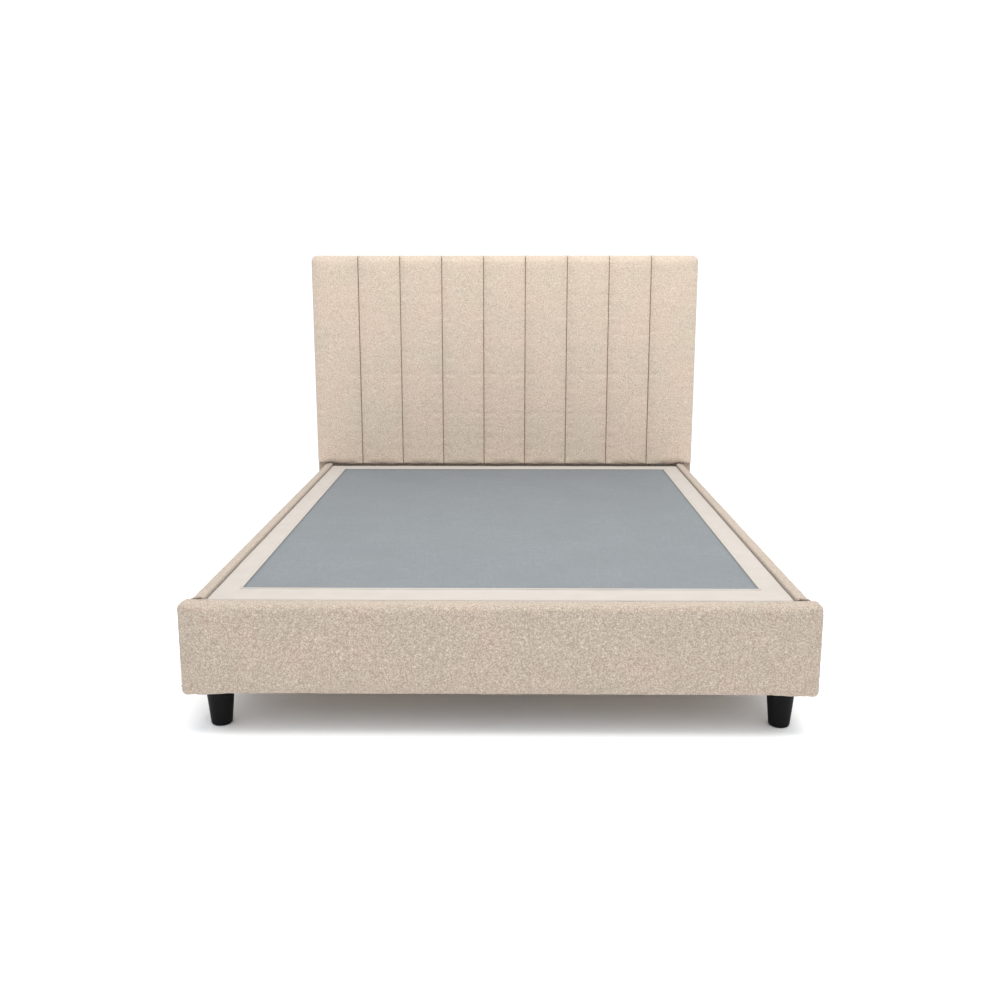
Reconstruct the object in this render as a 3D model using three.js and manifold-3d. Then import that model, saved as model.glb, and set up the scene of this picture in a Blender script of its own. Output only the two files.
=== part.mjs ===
// An upholstered bed for a queen mattress: a headboard with nine upright padded channels, a padded
// footboard and side rails, a box foundation that drops in between them, and tapered round legs.
//
// Millimetres, +Z up. The origin is on the floor at the middle of the bed. +Y runs from the foot to the
// head, and the bed is the same on both sides of X = 0.
import * as THREE from "three";
import { mergeVertices } from "three/addons/utils/BufferGeometryUtils.js";
import Module from "manifold-3d";

const wasm = await Module();
wasm.setup();

// ---- Driving dimensions -------------------------------------------------------------------------

const FIT = 0.3; // gap between pieces that touch

const MATTRESS_WIDTH = 1524;
const MATTRESS_LENGTH = 2032;
const SIDE_ROOM = 13; // between the mattress and each side rail
const END_ROOM = 23; // spare length between the headboard and the footboard

const LEG_HEIGHT = 110; // floor to the underside of the rails
const LEG_TOP_RADIUS = 38;
const LEG_FOOT_RADIUS = 28.5;
const LEG_FOOT_ROUND = 5;
const LEG_FOOT_FACETS = 3;
const LEG_INSET = 21; // from a rail's inner face, inwards, to the leg's axis
const LEG_SET_BACK = 30; // from the inner face of the footboard or apron to the leg's axis
const STUD_RADIUS = 4;
const STUD_LENGTH = 34;
const STUD_ROOM = 3; // depth left in the block above the stud

const RAIL_HEIGHT = 255;
const RAIL_BOARD = 22; // timber thickness
const RAIL_OUTER_PAD = 13;
const RAIL_INNER_PAD = 9.5;
const RAIL_TOP_ROUND = 17;
const RAIL_INNER_TOP_ROUND = 8;
const RAIL_INNER_BOTTOM_ROUND = 4;
const PAD_OVER = 12; // padding over the top and under the bottom of each timber
const UPPER_RETURN = 60; // cover turned down the inner face and stapled
const LOWER_RETURN = 12; // cover turned up the inner face from the timber's lower edge
const BOTTOM_ROUND = 7;

const FOOT_BOARD = 30;
const FOOT_OUTER_PAD = 20;
const FOOT_INNER_PAD = 9.5;
const FOOT_TOP_ROUND = 19;
const FOOT_OVERHANG = 12; // past the outside of each side rail

const HEADBOARD_HEIGHT = 1170; // from the rails' underside
const HEADBOARD_OVERHANG = 22; // past the outside of each side rail
const HEAD_FRAME = 36; // thickness of the timber frame
const HEAD_PANEL = 10; // plywood on the front of the frame
const STILE_WIDTH = 110;
const HEAD_RAIL_WIDTH = 80;
const EDGE_WRAP = 12; // padding over the sides and top of the frame
const APRON = 6; // flat cover on the front of the headboard, below the channels
const BACK_CLOTH = 1.2;
const BACK_CLOTH_MARGIN = 22; // from the headboard's outline to the back cloth's edge

const CHANNEL_COUNT = 9;
const CHANNEL_DEPTH = 40;
const CHANNEL_EDGE = 9; // depth lost from the crown of a channel to its seams
const OUTER_CHANNEL_EXTRA = 22; // the first and last channels are wider, to turn the corner
const CHANNEL_ROUND = 24; // radius where they turn it
const CHANNEL_GAP = 2; // between the rails' tops and the channels above them

const LEDGER_WIDTH = 38;
const LEDGER_HEIGHT = 38;
const BLOCK_SIZE = 86; // corner block, along and across the bed
const BLOCK_ROOM = 4; // between a corner block and the ledger

const BEAM_WIDTH = 50;
const BEAM_HEIGHT = 30;
const BEAM_WALL = 2;
const BEAM_END_ROOM = 6;
const HANGER_PLATE = 3;
const HANGER_REACH = 45; // how far the cradle holds the beam
const HANGER_EAR = 22; // back plate past the cradle, each side and above

const CENTRE_LEG_COUNT = 2;
const CENTRE_LEG_RADIUS = 23;
const CENTRE_LEG_FOOT = 19; // floor to the bottom of a centre leg
const GLIDE_RADIUS = 19;
const GLIDE_HEIGHT = 8;
const GLIDE_STEM_RADIUS = 5;
const GLIDE_STEM = 60; // stem above the pad
const GLIDE_STEM_ROOM = 18; // bore past the end of the stem

const BRACKET_PLATE = 3;
const BRACKET_RAIL_LEG = 62;
const BRACKET_END_LEG = 50;
const BRACKET_MARGIN = 8; // above the corner block and below the cover's return
const BOLT_EDGE = 26; // from a bracket's end to its bolt
const BOLT_RADIUS = 4;
const BOLT_LENGTH = 21;
const BOLT_HEAD_RADIUS = 8;
const BOLT_HEAD_HEIGHT = 4.6;
const BOLT_CROWN_RADIUS = 4.8; // flat on top of the head
const BOLT_RIM = 1.6; // height of the head's straight edge
const BOLT_FROM_RAIL = 27; // from the bracket's bend to the bolts in the end board
const BOLT_FROM_END = 44; // from the bracket's bend to the bolts in the rail

const FOUNDATION_SIDE_GAP = 3;
const FOUNDATION_HEAD_GAP = 5;
const DECK_DROP = 8; // deck below the tops of the rails
const FOUNDATION_BOARD = 19;
const FOUNDATION_CROSS_COUNT = 2;
const DECK_BOARD = 9;
const COVER_SKIRT = 3;
const DECK_PAD = 4.4; // wadding and cloth over the deck board
const BORDER_SIDE = 67; // width of the fabric border round the deck cloth
const BORDER_FOOT = 102;
const BORDER_HEAD = 74;

// Flat faces round each kind of curve, and how close two corners are when they count as one.
const SECTION_FACETS = 6;
const BAR_FACETS = 16;
const LEG_FACETS = 28;
const CENTRE_LEG_FACETS = 24;
const MERGE_DISTANCE = 1e-3;

// ---- Levels and faces that several pieces share -------------------------------------------------

const innerHalfWidth = MATTRESS_WIDTH / 2 + SIDE_ROOM;
const innerLength = MATTRESS_LENGTH + END_ROOM;
const railThickness = RAIL_INNER_PAD + RAIL_BOARD + RAIL_OUTER_PAD + 2 * FIT;
const footThickness = FOOT_INNER_PAD + FOOT_BOARD + FOOT_OUTER_PAD + 2 * FIT;
const headCore = BACK_CLOTH + HEAD_FRAME + HEAD_PANEL + 3 * FIT;
const railOuterX = innerHalfWidth + railThickness;
const footHalfWidth = railOuterX + FOOT_OVERHANG;
const headHalfWidth = railOuterX + HEADBOARD_OVERHANG;

const frontY = -(footThickness + innerLength + CHANNEL_DEPTH + headCore) / 2;
const footInnerY = frontY + footThickness;
const channelY = footInnerY + innerLength; // crown of the channels
const panelY = channelY + CHANNEL_DEPTH + FIT; // front of the plywood
const apronY = panelY - FIT - APRON;
const backY = -frontY;

const railTop = LEG_HEIGHT + RAIL_HEIGHT;
const headTop = LEG_HEIGHT + HEADBOARD_HEIGHT;
const timberBottom = LEG_HEIGHT + PAD_OVER + FIT;
const timberTop = railTop - PAD_OVER - FIT;
const lowerReturnTop = timberBottom + LOWER_RETURN;
const ledgerBottom = lowerReturnTop + FIT;
const ledgerTop = ledgerBottom + LEDGER_HEIGHT;
const deckTop = railTop - DECK_DROP;
const beamTop = ledgerTop - FIT;
const beamBottom = beamTop - BEAM_HEIGHT;
const cradleBottom = beamBottom - FIT - HANGER_PLATE;
const footReturnTop = Math.min(lowerReturnTop, cradleBottom - FIT); // clear of the hanger's plate
const upperReturnBottom = railTop - UPPER_RETURN;

const railTimberX = innerHalfWidth + RAIL_INNER_PAD + FIT; // inner face of a rail's timber
const footTimberY = footInnerY - FOOT_INNER_PAD - FIT; // inner face of the footboard's timber
const bracketBottom = ledgerTop + BRACKET_MARGIN;
const bracketTop = upperReturnBottom - BRACKET_MARGIN;
const boltLevels = [bracketBottom + BOLT_EDGE, bracketTop - BOLT_EDGE];
const railSeatX = railTimberX - FIT; // what is screwed to a rail's bare timber lies against this
const boltX = railSeatX - BOLT_FROM_RAIL;

// Fittings lie against the bare timber in the opening of the footboard's cover, and against the
// headboard's apron.
const seatY = { front: footTimberY + FIT, rear: apronY - FIT };
// Where the covers, not the timbers, are what a piece meets.
const coverY = { front: footInnerY + FIT, rear: apronY - FIT };

// A stretch along Y that starts and stops at these distances into the bed from a face.
const into = (face, end, near, far) => [face - end * near, face - end * far].sort((a, b) => a - b);

// ---- Materials ----------------------------------------------------------------------------------

const finish = (color, roughness, metalness = 0) =>
  new THREE.MeshStandardMaterial({ color, roughness, metalness });
const boucle = finish(0xd2c1af, 0.95);
const plainFabric = finish(0xdcd3c6, 0.9);
const deckCloth = finish(0x9aa0a3, 0.9);
const backCloth = finish(0x4a4744, 0.95);
const pine = finish(0xd0ab78, 0.7);
const plywood = finish(0xc49a66, 0.75);
const blackPlastic = finish(0x1b1b1b, 0.45);
const blackSteel = finish(0x2b2c2e, 0.5, 0.8);
const zincSteel = finish(0xa9adb0, 0.35, 1);
const glidePlastic = finish(0x26262a, 0.6);

// ---- Building blocks ----------------------------------------------------------------------------

const bed = new THREE.Group();

// Names a shape, gives it its finish and puts it in the bed.
function piece(name, geometry, material, position = [0, 0, 0]) {
  const mesh = new THREE.Mesh(geometry, material);
  mesh.name = name;
  mesh.position.set(...position);
  bed.add(mesh);
  return mesh;
}

// A box that reaches from one value to the other along each axis.
function block([x0, x1], [y0, y1], [z0, z1]) {
  const box = new THREE.BoxGeometry(x1 - x0, y1 - y0, z1 - z0);
  return box.translate((x0 + x1) / 2, (y0 + y1) / 2, (z0 + z1) / 2);
}

// A box on the +X side, or its mirror image on the -X side.
const sideBlock = (side, [x0, x1], ys, zs) =>
  block(side > 0 ? [x0, x1] : [-x1, -x0], ys, zs);

// A three.js geometry as a manifold-3d solid, and back.
function solidOf(geometry) {
  const bare = geometry.clone().deleteAttribute("normal").deleteAttribute("uv");
  const merged = mergeVertices(bare, MERGE_DISTANCE);
  return new wasm.Manifold(
    new wasm.Mesh({
      numProp: 3,
      vertProperties: new Float32Array(merged.attributes.position.array),
      triVerts: new Uint32Array(merged.index.array),
    }),
  );
}

function geometryOf(solid) {
  const mesh = solid.getMesh();
  return new THREE.BufferGeometry()
    .setAttribute("position", new THREE.BufferAttribute(mesh.vertProperties, 3))
    .setIndex(new THREE.BufferAttribute(mesh.triVerts, 1));
}

const join = (...geometries) =>
  geometryOf(geometries.map(solidOf).reduce((a, b) => a.add(b)));

const cut = (geometry, ...tools) =>
  geometryOf(tools.map(solidOf).reduce((a, b) => a.subtract(b), solidOf(geometry)));

// A round bar along an axis, centred on a point.
function bar(radius, length, [x, y, z], axis = "y") {
  const cylinder = new THREE.CylinderGeometry(radius, radius, length, BAR_FACETS);
  if (axis === "x") cylinder.rotateZ(Math.PI / 2);
  if (axis === "z") cylinder.rotateX(Math.PI / 2);
  return cylinder.translate(x, y, z);
}

// A closed profile of [radius, height] points turned about Z.
function turned(profile, facets) {
  const points = profile.map(([radius, height]) => new THREE.Vector2(radius, height));
  return new THREE.LatheGeometry(points, facets).rotateX(Math.PI / 2);
}

// A section drawn in plan (x, y) and raised along Z.
const raised = (shape, height) =>
  new THREE.ExtrudeGeometry(shape, {
    depth: height,
    bevelEnabled: false,
    curveSegments: SECTION_FACETS,
  });

// A section drawn as (across, up) and run along Y, starting at y = 0 and going to +length.
const runAlongY = (shape, length) =>
  raised(shape, length).rotateX(Math.PI / 2).translate(0, length, 0);

// A rectangle from (x0, y0) to (x1, y1) whose corners have these radii:
// [low x low y, high x low y, high x high y, low x high y].
function roundedRectangle(x0, y0, x1, y1, [a, b, c, d]) {
  const shape = new THREE.Shape();
  shape.moveTo(x0 + a, y0);
  shape.lineTo(x1 - b, y0);
  shape.absarc(x1 - b, y0 + b, b, -Math.PI / 2, 0);
  shape.lineTo(x1, y1 - c);
  shape.absarc(x1 - c, y1 - c, c, 0, Math.PI / 2);
  shape.lineTo(x0 + d, y1);
  shape.absarc(x0 + d, y1 - d, d, Math.PI / 2, Math.PI);
  shape.lineTo(x0, y0 + a);
  shape.absarc(x0 + a, y0 + a, a, Math.PI, 1.5 * Math.PI);
  return shape;
}

const sides = [
  ["left", -1],
  ["right", 1],
];
const ends = [
  ["front", -1],
  ["rear", 1],
];

// ---- Headboard ----------------------------------------------------------------------------------

const frameFrontY = panelY + HEAD_PANEL + FIT;
const frameBackY = frameFrontY + HEAD_FRAME;
const frameHalfWidth = headHalfWidth - EDGE_WRAP - FIT;
const frameTop = headTop - EDGE_WRAP - FIT;

// Holes for the corner bolts, through whatever stands at the head end of the bed.
const headBoltHoles = (side) =>
  boltLevels.map((level) =>
    bar(BOLT_RADIUS + FIT, 4 * BOLT_LENGTH, [side * boltX, apronY, level]),
  );

function headboardFrame() {
  const stileInnerX = frameHalfWidth - STILE_WIDTH;
  for (const [name, side] of sides) {
    const stile = sideBlock(
      side,
      [stileInnerX, frameHalfWidth],
      [frameFrontY, frameBackY],
      [timberBottom, frameTop],
    );
    piece(`headboard_stile_${name}`, cut(stile, ...headBoltHoles(side)), pine);
  }
  const railX = [-stileInnerX + FIT, stileInnerX - FIT];
  const rails = { top: frameTop - HEAD_RAIL_WIDTH, bottom: timberBottom };
  for (const [name, level] of Object.entries(rails)) {
    const rail = block(railX, [frameFrontY, frameBackY], [level, level + HEAD_RAIL_WIDTH]);
    piece(`headboard_${name}_rail`, rail, pine);
  }
  const panel = block(
    [-frameHalfWidth, frameHalfWidth],
    [panelY, panelY + HEAD_PANEL],
    [timberBottom, frameTop],
  );
  const holes = sides.flatMap(([, side]) => headBoltHoles(side));
  piece("headboard_front_panel", cut(panel, ...holes), plywood);
}

// The plain cover: over the sides and top of the frame, and flat across its front below the channels.
function headboardCover() {
  const outside = block(
    [-headHalfWidth, headHalfWidth],
    [panelY, backY],
    [LEG_HEIGHT, headTop],
  );
  const apron = block(
    [-headHalfWidth, headHalfWidth],
    [apronY, panelY + FIT],
    [LEG_HEIGHT, railTop],
  );
  const inside = block(
    [-frameHalfWidth - FIT, frameHalfWidth + FIT],
    [panelY - FIT, backY + FIT],
    [LEG_HEIGHT - FIT, frameTop + FIT],
  );
  const holes = sides.flatMap(([, side]) => headBoltHoles(side));
  piece("headboard_cover", cut(join(outside, apron), inside, ...holes), boucle);

  const cloth = block(
    [-headHalfWidth + BACK_CLOTH_MARGIN, headHalfWidth - BACK_CLOTH_MARGIN],
    [backY - BACK_CLOTH, backY],
    [LEG_HEIGHT + BACK_CLOTH_MARGIN, headTop - BACK_CLOTH_MARGIN],
  );
  piece("headboard_back_cloth", cloth, backCloth);
}

// One sewn pad. In plan its back is flat, its front is an arc from each seam to the next, and it turns
// the headboard's corners with a wider round.
function headboardChannelPad() {
  const seamStep = (2 * (headHalfWidth - OUTER_CHANNEL_EXTRA)) / CHANNEL_COUNT;
  const seamX = (i) => -headHalfWidth + OUTER_CHANNEL_EXTRA + i * seamStep;
  const crown = 0; // the crowns all touch this line
  const shape = new THREE.Shape();
  shape.moveTo(headHalfWidth, CHANNEL_DEPTH);
  shape.lineTo(-headHalfWidth, CHANNEL_DEPTH);
  shape.lineTo(-headHalfWidth, CHANNEL_ROUND);
  shape.quadraticCurveTo(-headHalfWidth, crown, -headHalfWidth + CHANNEL_ROUND, crown);
  shape.quadraticCurveTo(seamX(1) - CHANNEL_ROUND, crown, seamX(1), CHANNEL_EDGE);
  for (let i = 1; i < CHANNEL_COUNT - 1; i++) {
    shape.quadraticCurveTo((seamX(i) + seamX(i + 1)) / 2, -CHANNEL_EDGE, seamX(i + 1), CHANNEL_EDGE);
  }
  const lastSeam = seamX(CHANNEL_COUNT - 1);
  shape.quadraticCurveTo(lastSeam + CHANNEL_ROUND, crown, headHalfWidth - CHANNEL_ROUND, crown);
  shape.quadraticCurveTo(headHalfWidth, crown, headHalfWidth, CHANNEL_ROUND);
  const bottom = railTop + CHANNEL_GAP;
  piece("headboard_channel_pad", raised(shape, headTop - bottom), boucle, [0, channelY, bottom]);
}

// ---- Footboard and side rails -------------------------------------------------------------------

function footboard() {
  const timber = block(
    [-footHalfWidth + PAD_OVER + FIT, footHalfWidth - PAD_OVER - FIT],
    [footTimberY - FOOT_BOARD, footTimberY],
    [timberBottom, timberTop],
  );
  const holes = sides.flatMap(([, side]) =>
    boltLevels.map((level) => bar(BOLT_RADIUS + FIT, 3 * FOOT_BOARD, [side * boltX, footTimberY, level])),
  );
  piece("footboard_board", cut(timber, ...holes), pine);

  // The cover wraps the timber on every side, and is open where its returns end on the inner face.
  const section = roundedRectangle(0, 0, footThickness, RAIL_HEIGHT, [
    BOTTOM_ROUND,
    BOTTOM_ROUND,
    FOOT_TOP_ROUND,
    FOOT_TOP_ROUND,
  ]);
  const outside = runAlongY(section, 2 * footHalfWidth)
    .rotateZ(Math.PI / 2)
    .translate(footHalfWidth, footInnerY - footThickness, LEG_HEIGHT);
  const pocket = block(
    [-footHalfWidth + PAD_OVER, footHalfWidth - PAD_OVER],
    [footTimberY - FOOT_BOARD - FIT, footTimberY + FIT],
    [timberBottom - FIT, timberTop + FIT],
  );
  const opening = block(
    [-railTimberX, railTimberX],
    [footTimberY, footInnerY + FIT],
    [footReturnTop, upperReturnBottom],
  );
  piece("footboard_cover", cut(outside, pocket, opening), boucle);
}

function sideRails() {
  const along = [footInnerY + FIT, apronY - FIT];
  const past = [along[0] - FIT, along[1] + FIT];
  for (const [name, side] of sides) {
    const boardX = [railTimberX, railTimberX + RAIL_BOARD];
    const holes = [seatY.front + BOLT_FROM_END, seatY.rear - BOLT_FROM_END].flatMap((y) =>
      boltLevels.map((level) =>
        bar(BOLT_RADIUS + FIT, 4 * RAIL_BOARD, [side * railTimberX, y, level], "x"),
      ),
    );
    const timber = sideBlock(side, boardX, along, [timberBottom, timberTop]);
    piece(`side_rail_board_${name}`, cut(timber, ...holes), pine);

    const section = roundedRectangle(0, 0, railThickness, RAIL_HEIGHT, railRounds(side));
    const outside = runAlongY(section, along[1] - along[0]).translate(
      side > 0 ? innerHalfWidth : -railOuterX,
      along[0],
      LEG_HEIGHT,
    );
    const pocket = sideBlock(side, [boardX[0] - FIT, boardX[1] + FIT], past, [
      timberBottom - FIT,
      timberTop + FIT,
    ]);
    const opening = sideBlock(side, [innerHalfWidth - FIT, railTimberX], past, [
      lowerReturnTop,
      upperReturnBottom,
    ]);
    piece(`side_rail_cover_${name}`, cut(outside, pocket, opening), boucle);
  }
}

// The corner radii of a rail's section, which is rounder along its outer edges than its inner ones.
function railRounds(side) {
  const bottom = [RAIL_INNER_BOTTOM_ROUND, BOTTOM_ROUND];
  const top = [RAIL_TOP_ROUND, RAIL_INNER_TOP_ROUND];
  return side > 0 ? [...bottom, ...top] : [...bottom.reverse(), ...top.reverse()];
}

// ---- Inside the frame ---------------------------------------------------------------------------

function ledgers() {
  const clear = BLOCK_SIZE + BLOCK_ROOM;
  for (const [name, side] of sides) {
    const ledger = sideBlock(
      side,
      [railSeatX - LEDGER_WIDTH, railSeatX],
      [coverY.front + clear, coverY.rear - clear],
      [ledgerBottom, ledgerTop],
    );
    piece(`side_ledger_${name}`, ledger, pine);
  }
}

function cornerBlocksAndLegs() {
  const legX = innerHalfWidth - LEG_INSET;
  const stud = [
    [STUD_RADIUS, LEG_HEIGHT - FIT],
    [STUD_RADIUS, LEG_HEIGHT - FIT + STUD_LENGTH],
    [0, LEG_HEIGHT - FIT + STUD_LENGTH],
  ];
  const footRound = new THREE.Path()
    .absarc(LEG_FOOT_RADIUS - LEG_FOOT_ROUND, LEG_FOOT_ROUND, LEG_FOOT_ROUND, -Math.PI / 2, 0)
    .getPoints(LEG_FOOT_FACETS)
    .map((point) => [point.x, point.y]);
  const profile = [[0, 0], ...footRound, [LEG_TOP_RADIUS, LEG_HEIGHT - FIT], ...stud];
  for (const [endName, end] of ends) {
    const legY = coverY[endName] - end * LEG_SET_BACK;
    const blockFar = coverY[endName] - end * BLOCK_SIZE;
    const blockSpan = (near) => [near, blockFar].sort((a, b) => a - b);
    for (const [sideName, side] of sides) {
      const corner = `${endName}_${sideName}`;
      // The lower half stops at the covers' returns, and the upper half reaches the timbers above them.
      const innerX = innerHalfWidth - BLOCK_SIZE;
      const lower = sideBlock(side, [innerX, innerHalfWidth - FIT], blockSpan(coverY[endName]), [
        LEG_HEIGHT,
        ledgerBottom + FIT,
      ]);
      const upper = sideBlock(side, [innerX, railSeatX], blockSpan(seatY[endName]), [
        ledgerBottom,
        ledgerTop - FIT,
      ]);
      const hole = bar(
        STUD_RADIUS + FIT,
        2 * (STUD_LENGTH + STUD_ROOM),
        [side * legX, legY, LEG_HEIGHT],
        "z",
      );
      piece(`corner_block_${corner}`, cut(join(lower, upper), hole), pine);
      piece(`leg_${corner}`, turned(profile, LEG_FACETS), blackPlastic, [side * legX, legY, 0]);
    }
  }
}

function cornerBrackets() {
  const heights = [bracketBottom, bracketTop];
  const headRoom = BRACKET_PLATE + FIT; // from a face to the underside of a bolt's head
  for (const [endName, end] of ends) {
    const face = seatY[endName];
    const railBoltY = face - end * BOLT_FROM_END;
    for (const [sideName, side] of sides) {
      const corner = `${endName}_${sideName}`;
      const railLeg = sideBlock(
        side,
        [railSeatX - BRACKET_PLATE, railSeatX],
        into(face, end, 0, BRACKET_RAIL_LEG),
        heights,
      );
      const endLeg = sideBlock(
        side,
        [railSeatX - BRACKET_END_LEG, railSeatX],
        into(face, end, 0, BRACKET_PLATE),
        heights,
      );
      const holes = boltLevels.flatMap((level) => [
        bar(BOLT_RADIUS + FIT, 4 * BRACKET_PLATE, [side * boltX, face, level]),
        bar(BOLT_RADIUS + FIT, 4 * BRACKET_PLATE, [side * railSeatX, railBoltY, level], "x"),
      ]);
      piece(`corner_bracket_${corner}`, cut(join(railLeg, endLeg), ...holes), zincSteel);

      boltLevels.forEach((level, i) => {
        const intoEnd = piece(`end_bolt_${corner}_${i + 1}`, boltShape(), zincSteel);
        intoEnd.position.set(side * boltX, face - end * headRoom, level);
        intoEnd.rotation.x = (-end * Math.PI) / 2;
        const intoRail = piece(`rail_bolt_${corner}_${i + 1}`, boltShape(), zincSteel);
        intoRail.position.set(side * (railSeatX - headRoom), railBoltY, level);
        intoRail.rotation.y = (side * Math.PI) / 2;
      });
    }
  }
}

// A button-head bolt: its shank points up, and its head hangs below z = 0.
function boltShape() {
  const profile = [
    [0, -BOLT_HEAD_HEIGHT],
    [BOLT_CROWN_RADIUS, -BOLT_HEAD_HEIGHT],
    [BOLT_HEAD_RADIUS, -BOLT_RIM],
    [BOLT_HEAD_RADIUS, 0],
    [BOLT_RADIUS, 0],
    [BOLT_RADIUS, BOLT_LENGTH],
    [0, BOLT_LENGTH],
  ];
  return turned(profile, BAR_FACETS);
}

function centreBeam() {
  const half = BEAM_WIDTH / 2;
  const start = footInnerY + BEAM_END_ROOM;
  const end = apronY - BEAM_END_ROOM;
  const outside = block([-half, half], [start, end], [beamBottom, beamTop]);
  const inside = block(
    [-half + BEAM_WALL, half - BEAM_WALL],
    [start - FIT, end + FIT],
    [beamBottom + BEAM_WALL, beamTop - BEAM_WALL],
  );
  piece("centre_beam", cut(outside, inside), blackSteel);

  // Each end lies in a steel cradle on a plate that is screwed to the board behind it.
  const cradleHalf = half + FIT + HANGER_PLATE;
  for (const [endName, beamEnd] of [
    ["front", start],
    ["rear", end],
  ]) {
    const face = seatY[endName];
    const inward = Math.sign(-beamEnd);
    const reach = Math.abs(beamEnd + inward * HANGER_REACH - face);
    const plate = block(
      [-cradleHalf - HANGER_EAR, cradleHalf + HANGER_EAR],
      into(face, -inward, 0, HANGER_PLATE),
      [cradleBottom, beamTop + HANGER_EAR],
    );
    const cradle = block([-cradleHalf, cradleHalf], into(face, -inward, 0, reach), [
      cradleBottom,
      beamTop - FIT,
    ]);
    const room = block(
      [-half - FIT, half + FIT],
      into(face, -inward, HANGER_PLATE, reach + FIT),
      [cradleBottom + HANGER_PLATE, beamTop],
    );
    piece(`beam_hanger_${endName}`, cut(join(plate, cradle), room), blackSteel);
  }
}

function centreLegs() {
  const top = beamBottom - FIT;
  const boreRadius = GLIDE_STEM_RADIUS + FIT;
  const boreTop = GLIDE_HEIGHT + GLIDE_STEM + GLIDE_STEM_ROOM;
  const leg = [
    [0, boreTop],
    [boreRadius, boreTop],
    [boreRadius, CENTRE_LEG_FOOT],
    [CENTRE_LEG_RADIUS, CENTRE_LEG_FOOT],
    [CENTRE_LEG_RADIUS, top],
    [0, top],
  ];
  const glide = [
    [0, 0],
    [GLIDE_RADIUS, 0],
    [GLIDE_RADIUS, GLIDE_HEIGHT],
    [GLIDE_STEM_RADIUS, GLIDE_HEIGHT],
    [GLIDE_STEM_RADIUS, GLIDE_HEIGHT + GLIDE_STEM],
    [0, GLIDE_HEIGHT + GLIDE_STEM],
  ];
  const spacing = innerLength / (CENTRE_LEG_COUNT + 1);
  for (let i = 1; i <= CENTRE_LEG_COUNT; i++) {
    const at = [0, footInnerY + i * spacing, 0];
    piece(`centre_leg_${i}`, turned(leg, CENTRE_LEG_FACETS), blackPlastic, at);
    piece(`centre_glide_${i}`, turned(glide, CENTRE_LEG_FACETS), glidePlastic, at);
  }
}

// ---- Drop-in foundation -------------------------------------------------------------------------

function foundation() {
  const halfWidth = innerHalfWidth - FOUNDATION_SIDE_GAP;
  const startY = footInnerY + FOUNDATION_SIDE_GAP;
  const endY = channelY - FOUNDATION_HEAD_GAP;
  const bottom = ledgerTop + FIT;
  const boardTop = deckTop - DECK_PAD - FIT;
  const frameTopZ = boardTop - DECK_BOARD - FIT;
  const skirt = COVER_SKIRT + FIT;
  const outerX = halfWidth - skirt;
  const frameY = [startY + skirt, endY - skirt];

  for (const [name, side] of sides) {
    const board = sideBlock(side, [outerX - FOUNDATION_BOARD, outerX], frameY, [bottom, frameTopZ]);
    piece(`foundation_side_${name}`, board, pine);
  }
  // The end boards and cross members run between the side boards, evenly spaced.
  const innerX = outerX - FOUNDATION_BOARD - FIT;
  const crossCount = FOUNDATION_CROSS_COUNT + 2;
  const step = (frameY[1] - frameY[0] - FOUNDATION_BOARD) / (crossCount - 1);
  for (let i = 0; i < crossCount; i++) {
    const y = frameY[0] + i * step;
    const ordinary = i > 0 && i < crossCount - 1;
    const name = ordinary ? `foundation_cross_${i}` : `foundation_end_${i ? "head" : "foot"}`;
    piece(name, block([-innerX, innerX], [y, y + FOUNDATION_BOARD], [bottom, frameTopZ]), pine);
  }
  const deck = block([-outerX, outerX], frameY, [frameTopZ + FIT, boardTop]);
  piece("foundation_deck_board", deck, plywood);

  // The cover is a skirt round the box with a border over its top, and the deck cloth fills the border.
  const clothX = halfWidth - BORDER_SIDE;
  const clothY = [startY + BORDER_FOOT, endY - BORDER_HEAD];
  const outside = block([-halfWidth, halfWidth], [startY, endY], [bottom, deckTop]);
  const inside = block(
    [-outerX - FIT, outerX + FIT],
    [frameY[0] - FIT, frameY[1] + FIT],
    [bottom - FIT, boardTop + FIT],
  );
  const window = block([-clothX, clothX], clothY, [bottom, deckTop + FIT]);
  piece("foundation_cover", cut(outside, inside, window), plainFabric);
  const cloth = block(
    [-clothX + FIT, clothX - FIT],
    [clothY[0] + FIT, clothY[1] - FIT],
    [boardTop + FIT, deckTop],
  );
  piece("foundation_deck_cloth", cloth, deckCloth);
}

headboardFrame();
headboardCover();
headboardChannelPad();
footboard();
sideRails();
ledgers();
cornerBlocksAndLegs();
cornerBrackets();
centreBeam();
centreLegs();
foundation();

export default bed;
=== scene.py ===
import math

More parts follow.
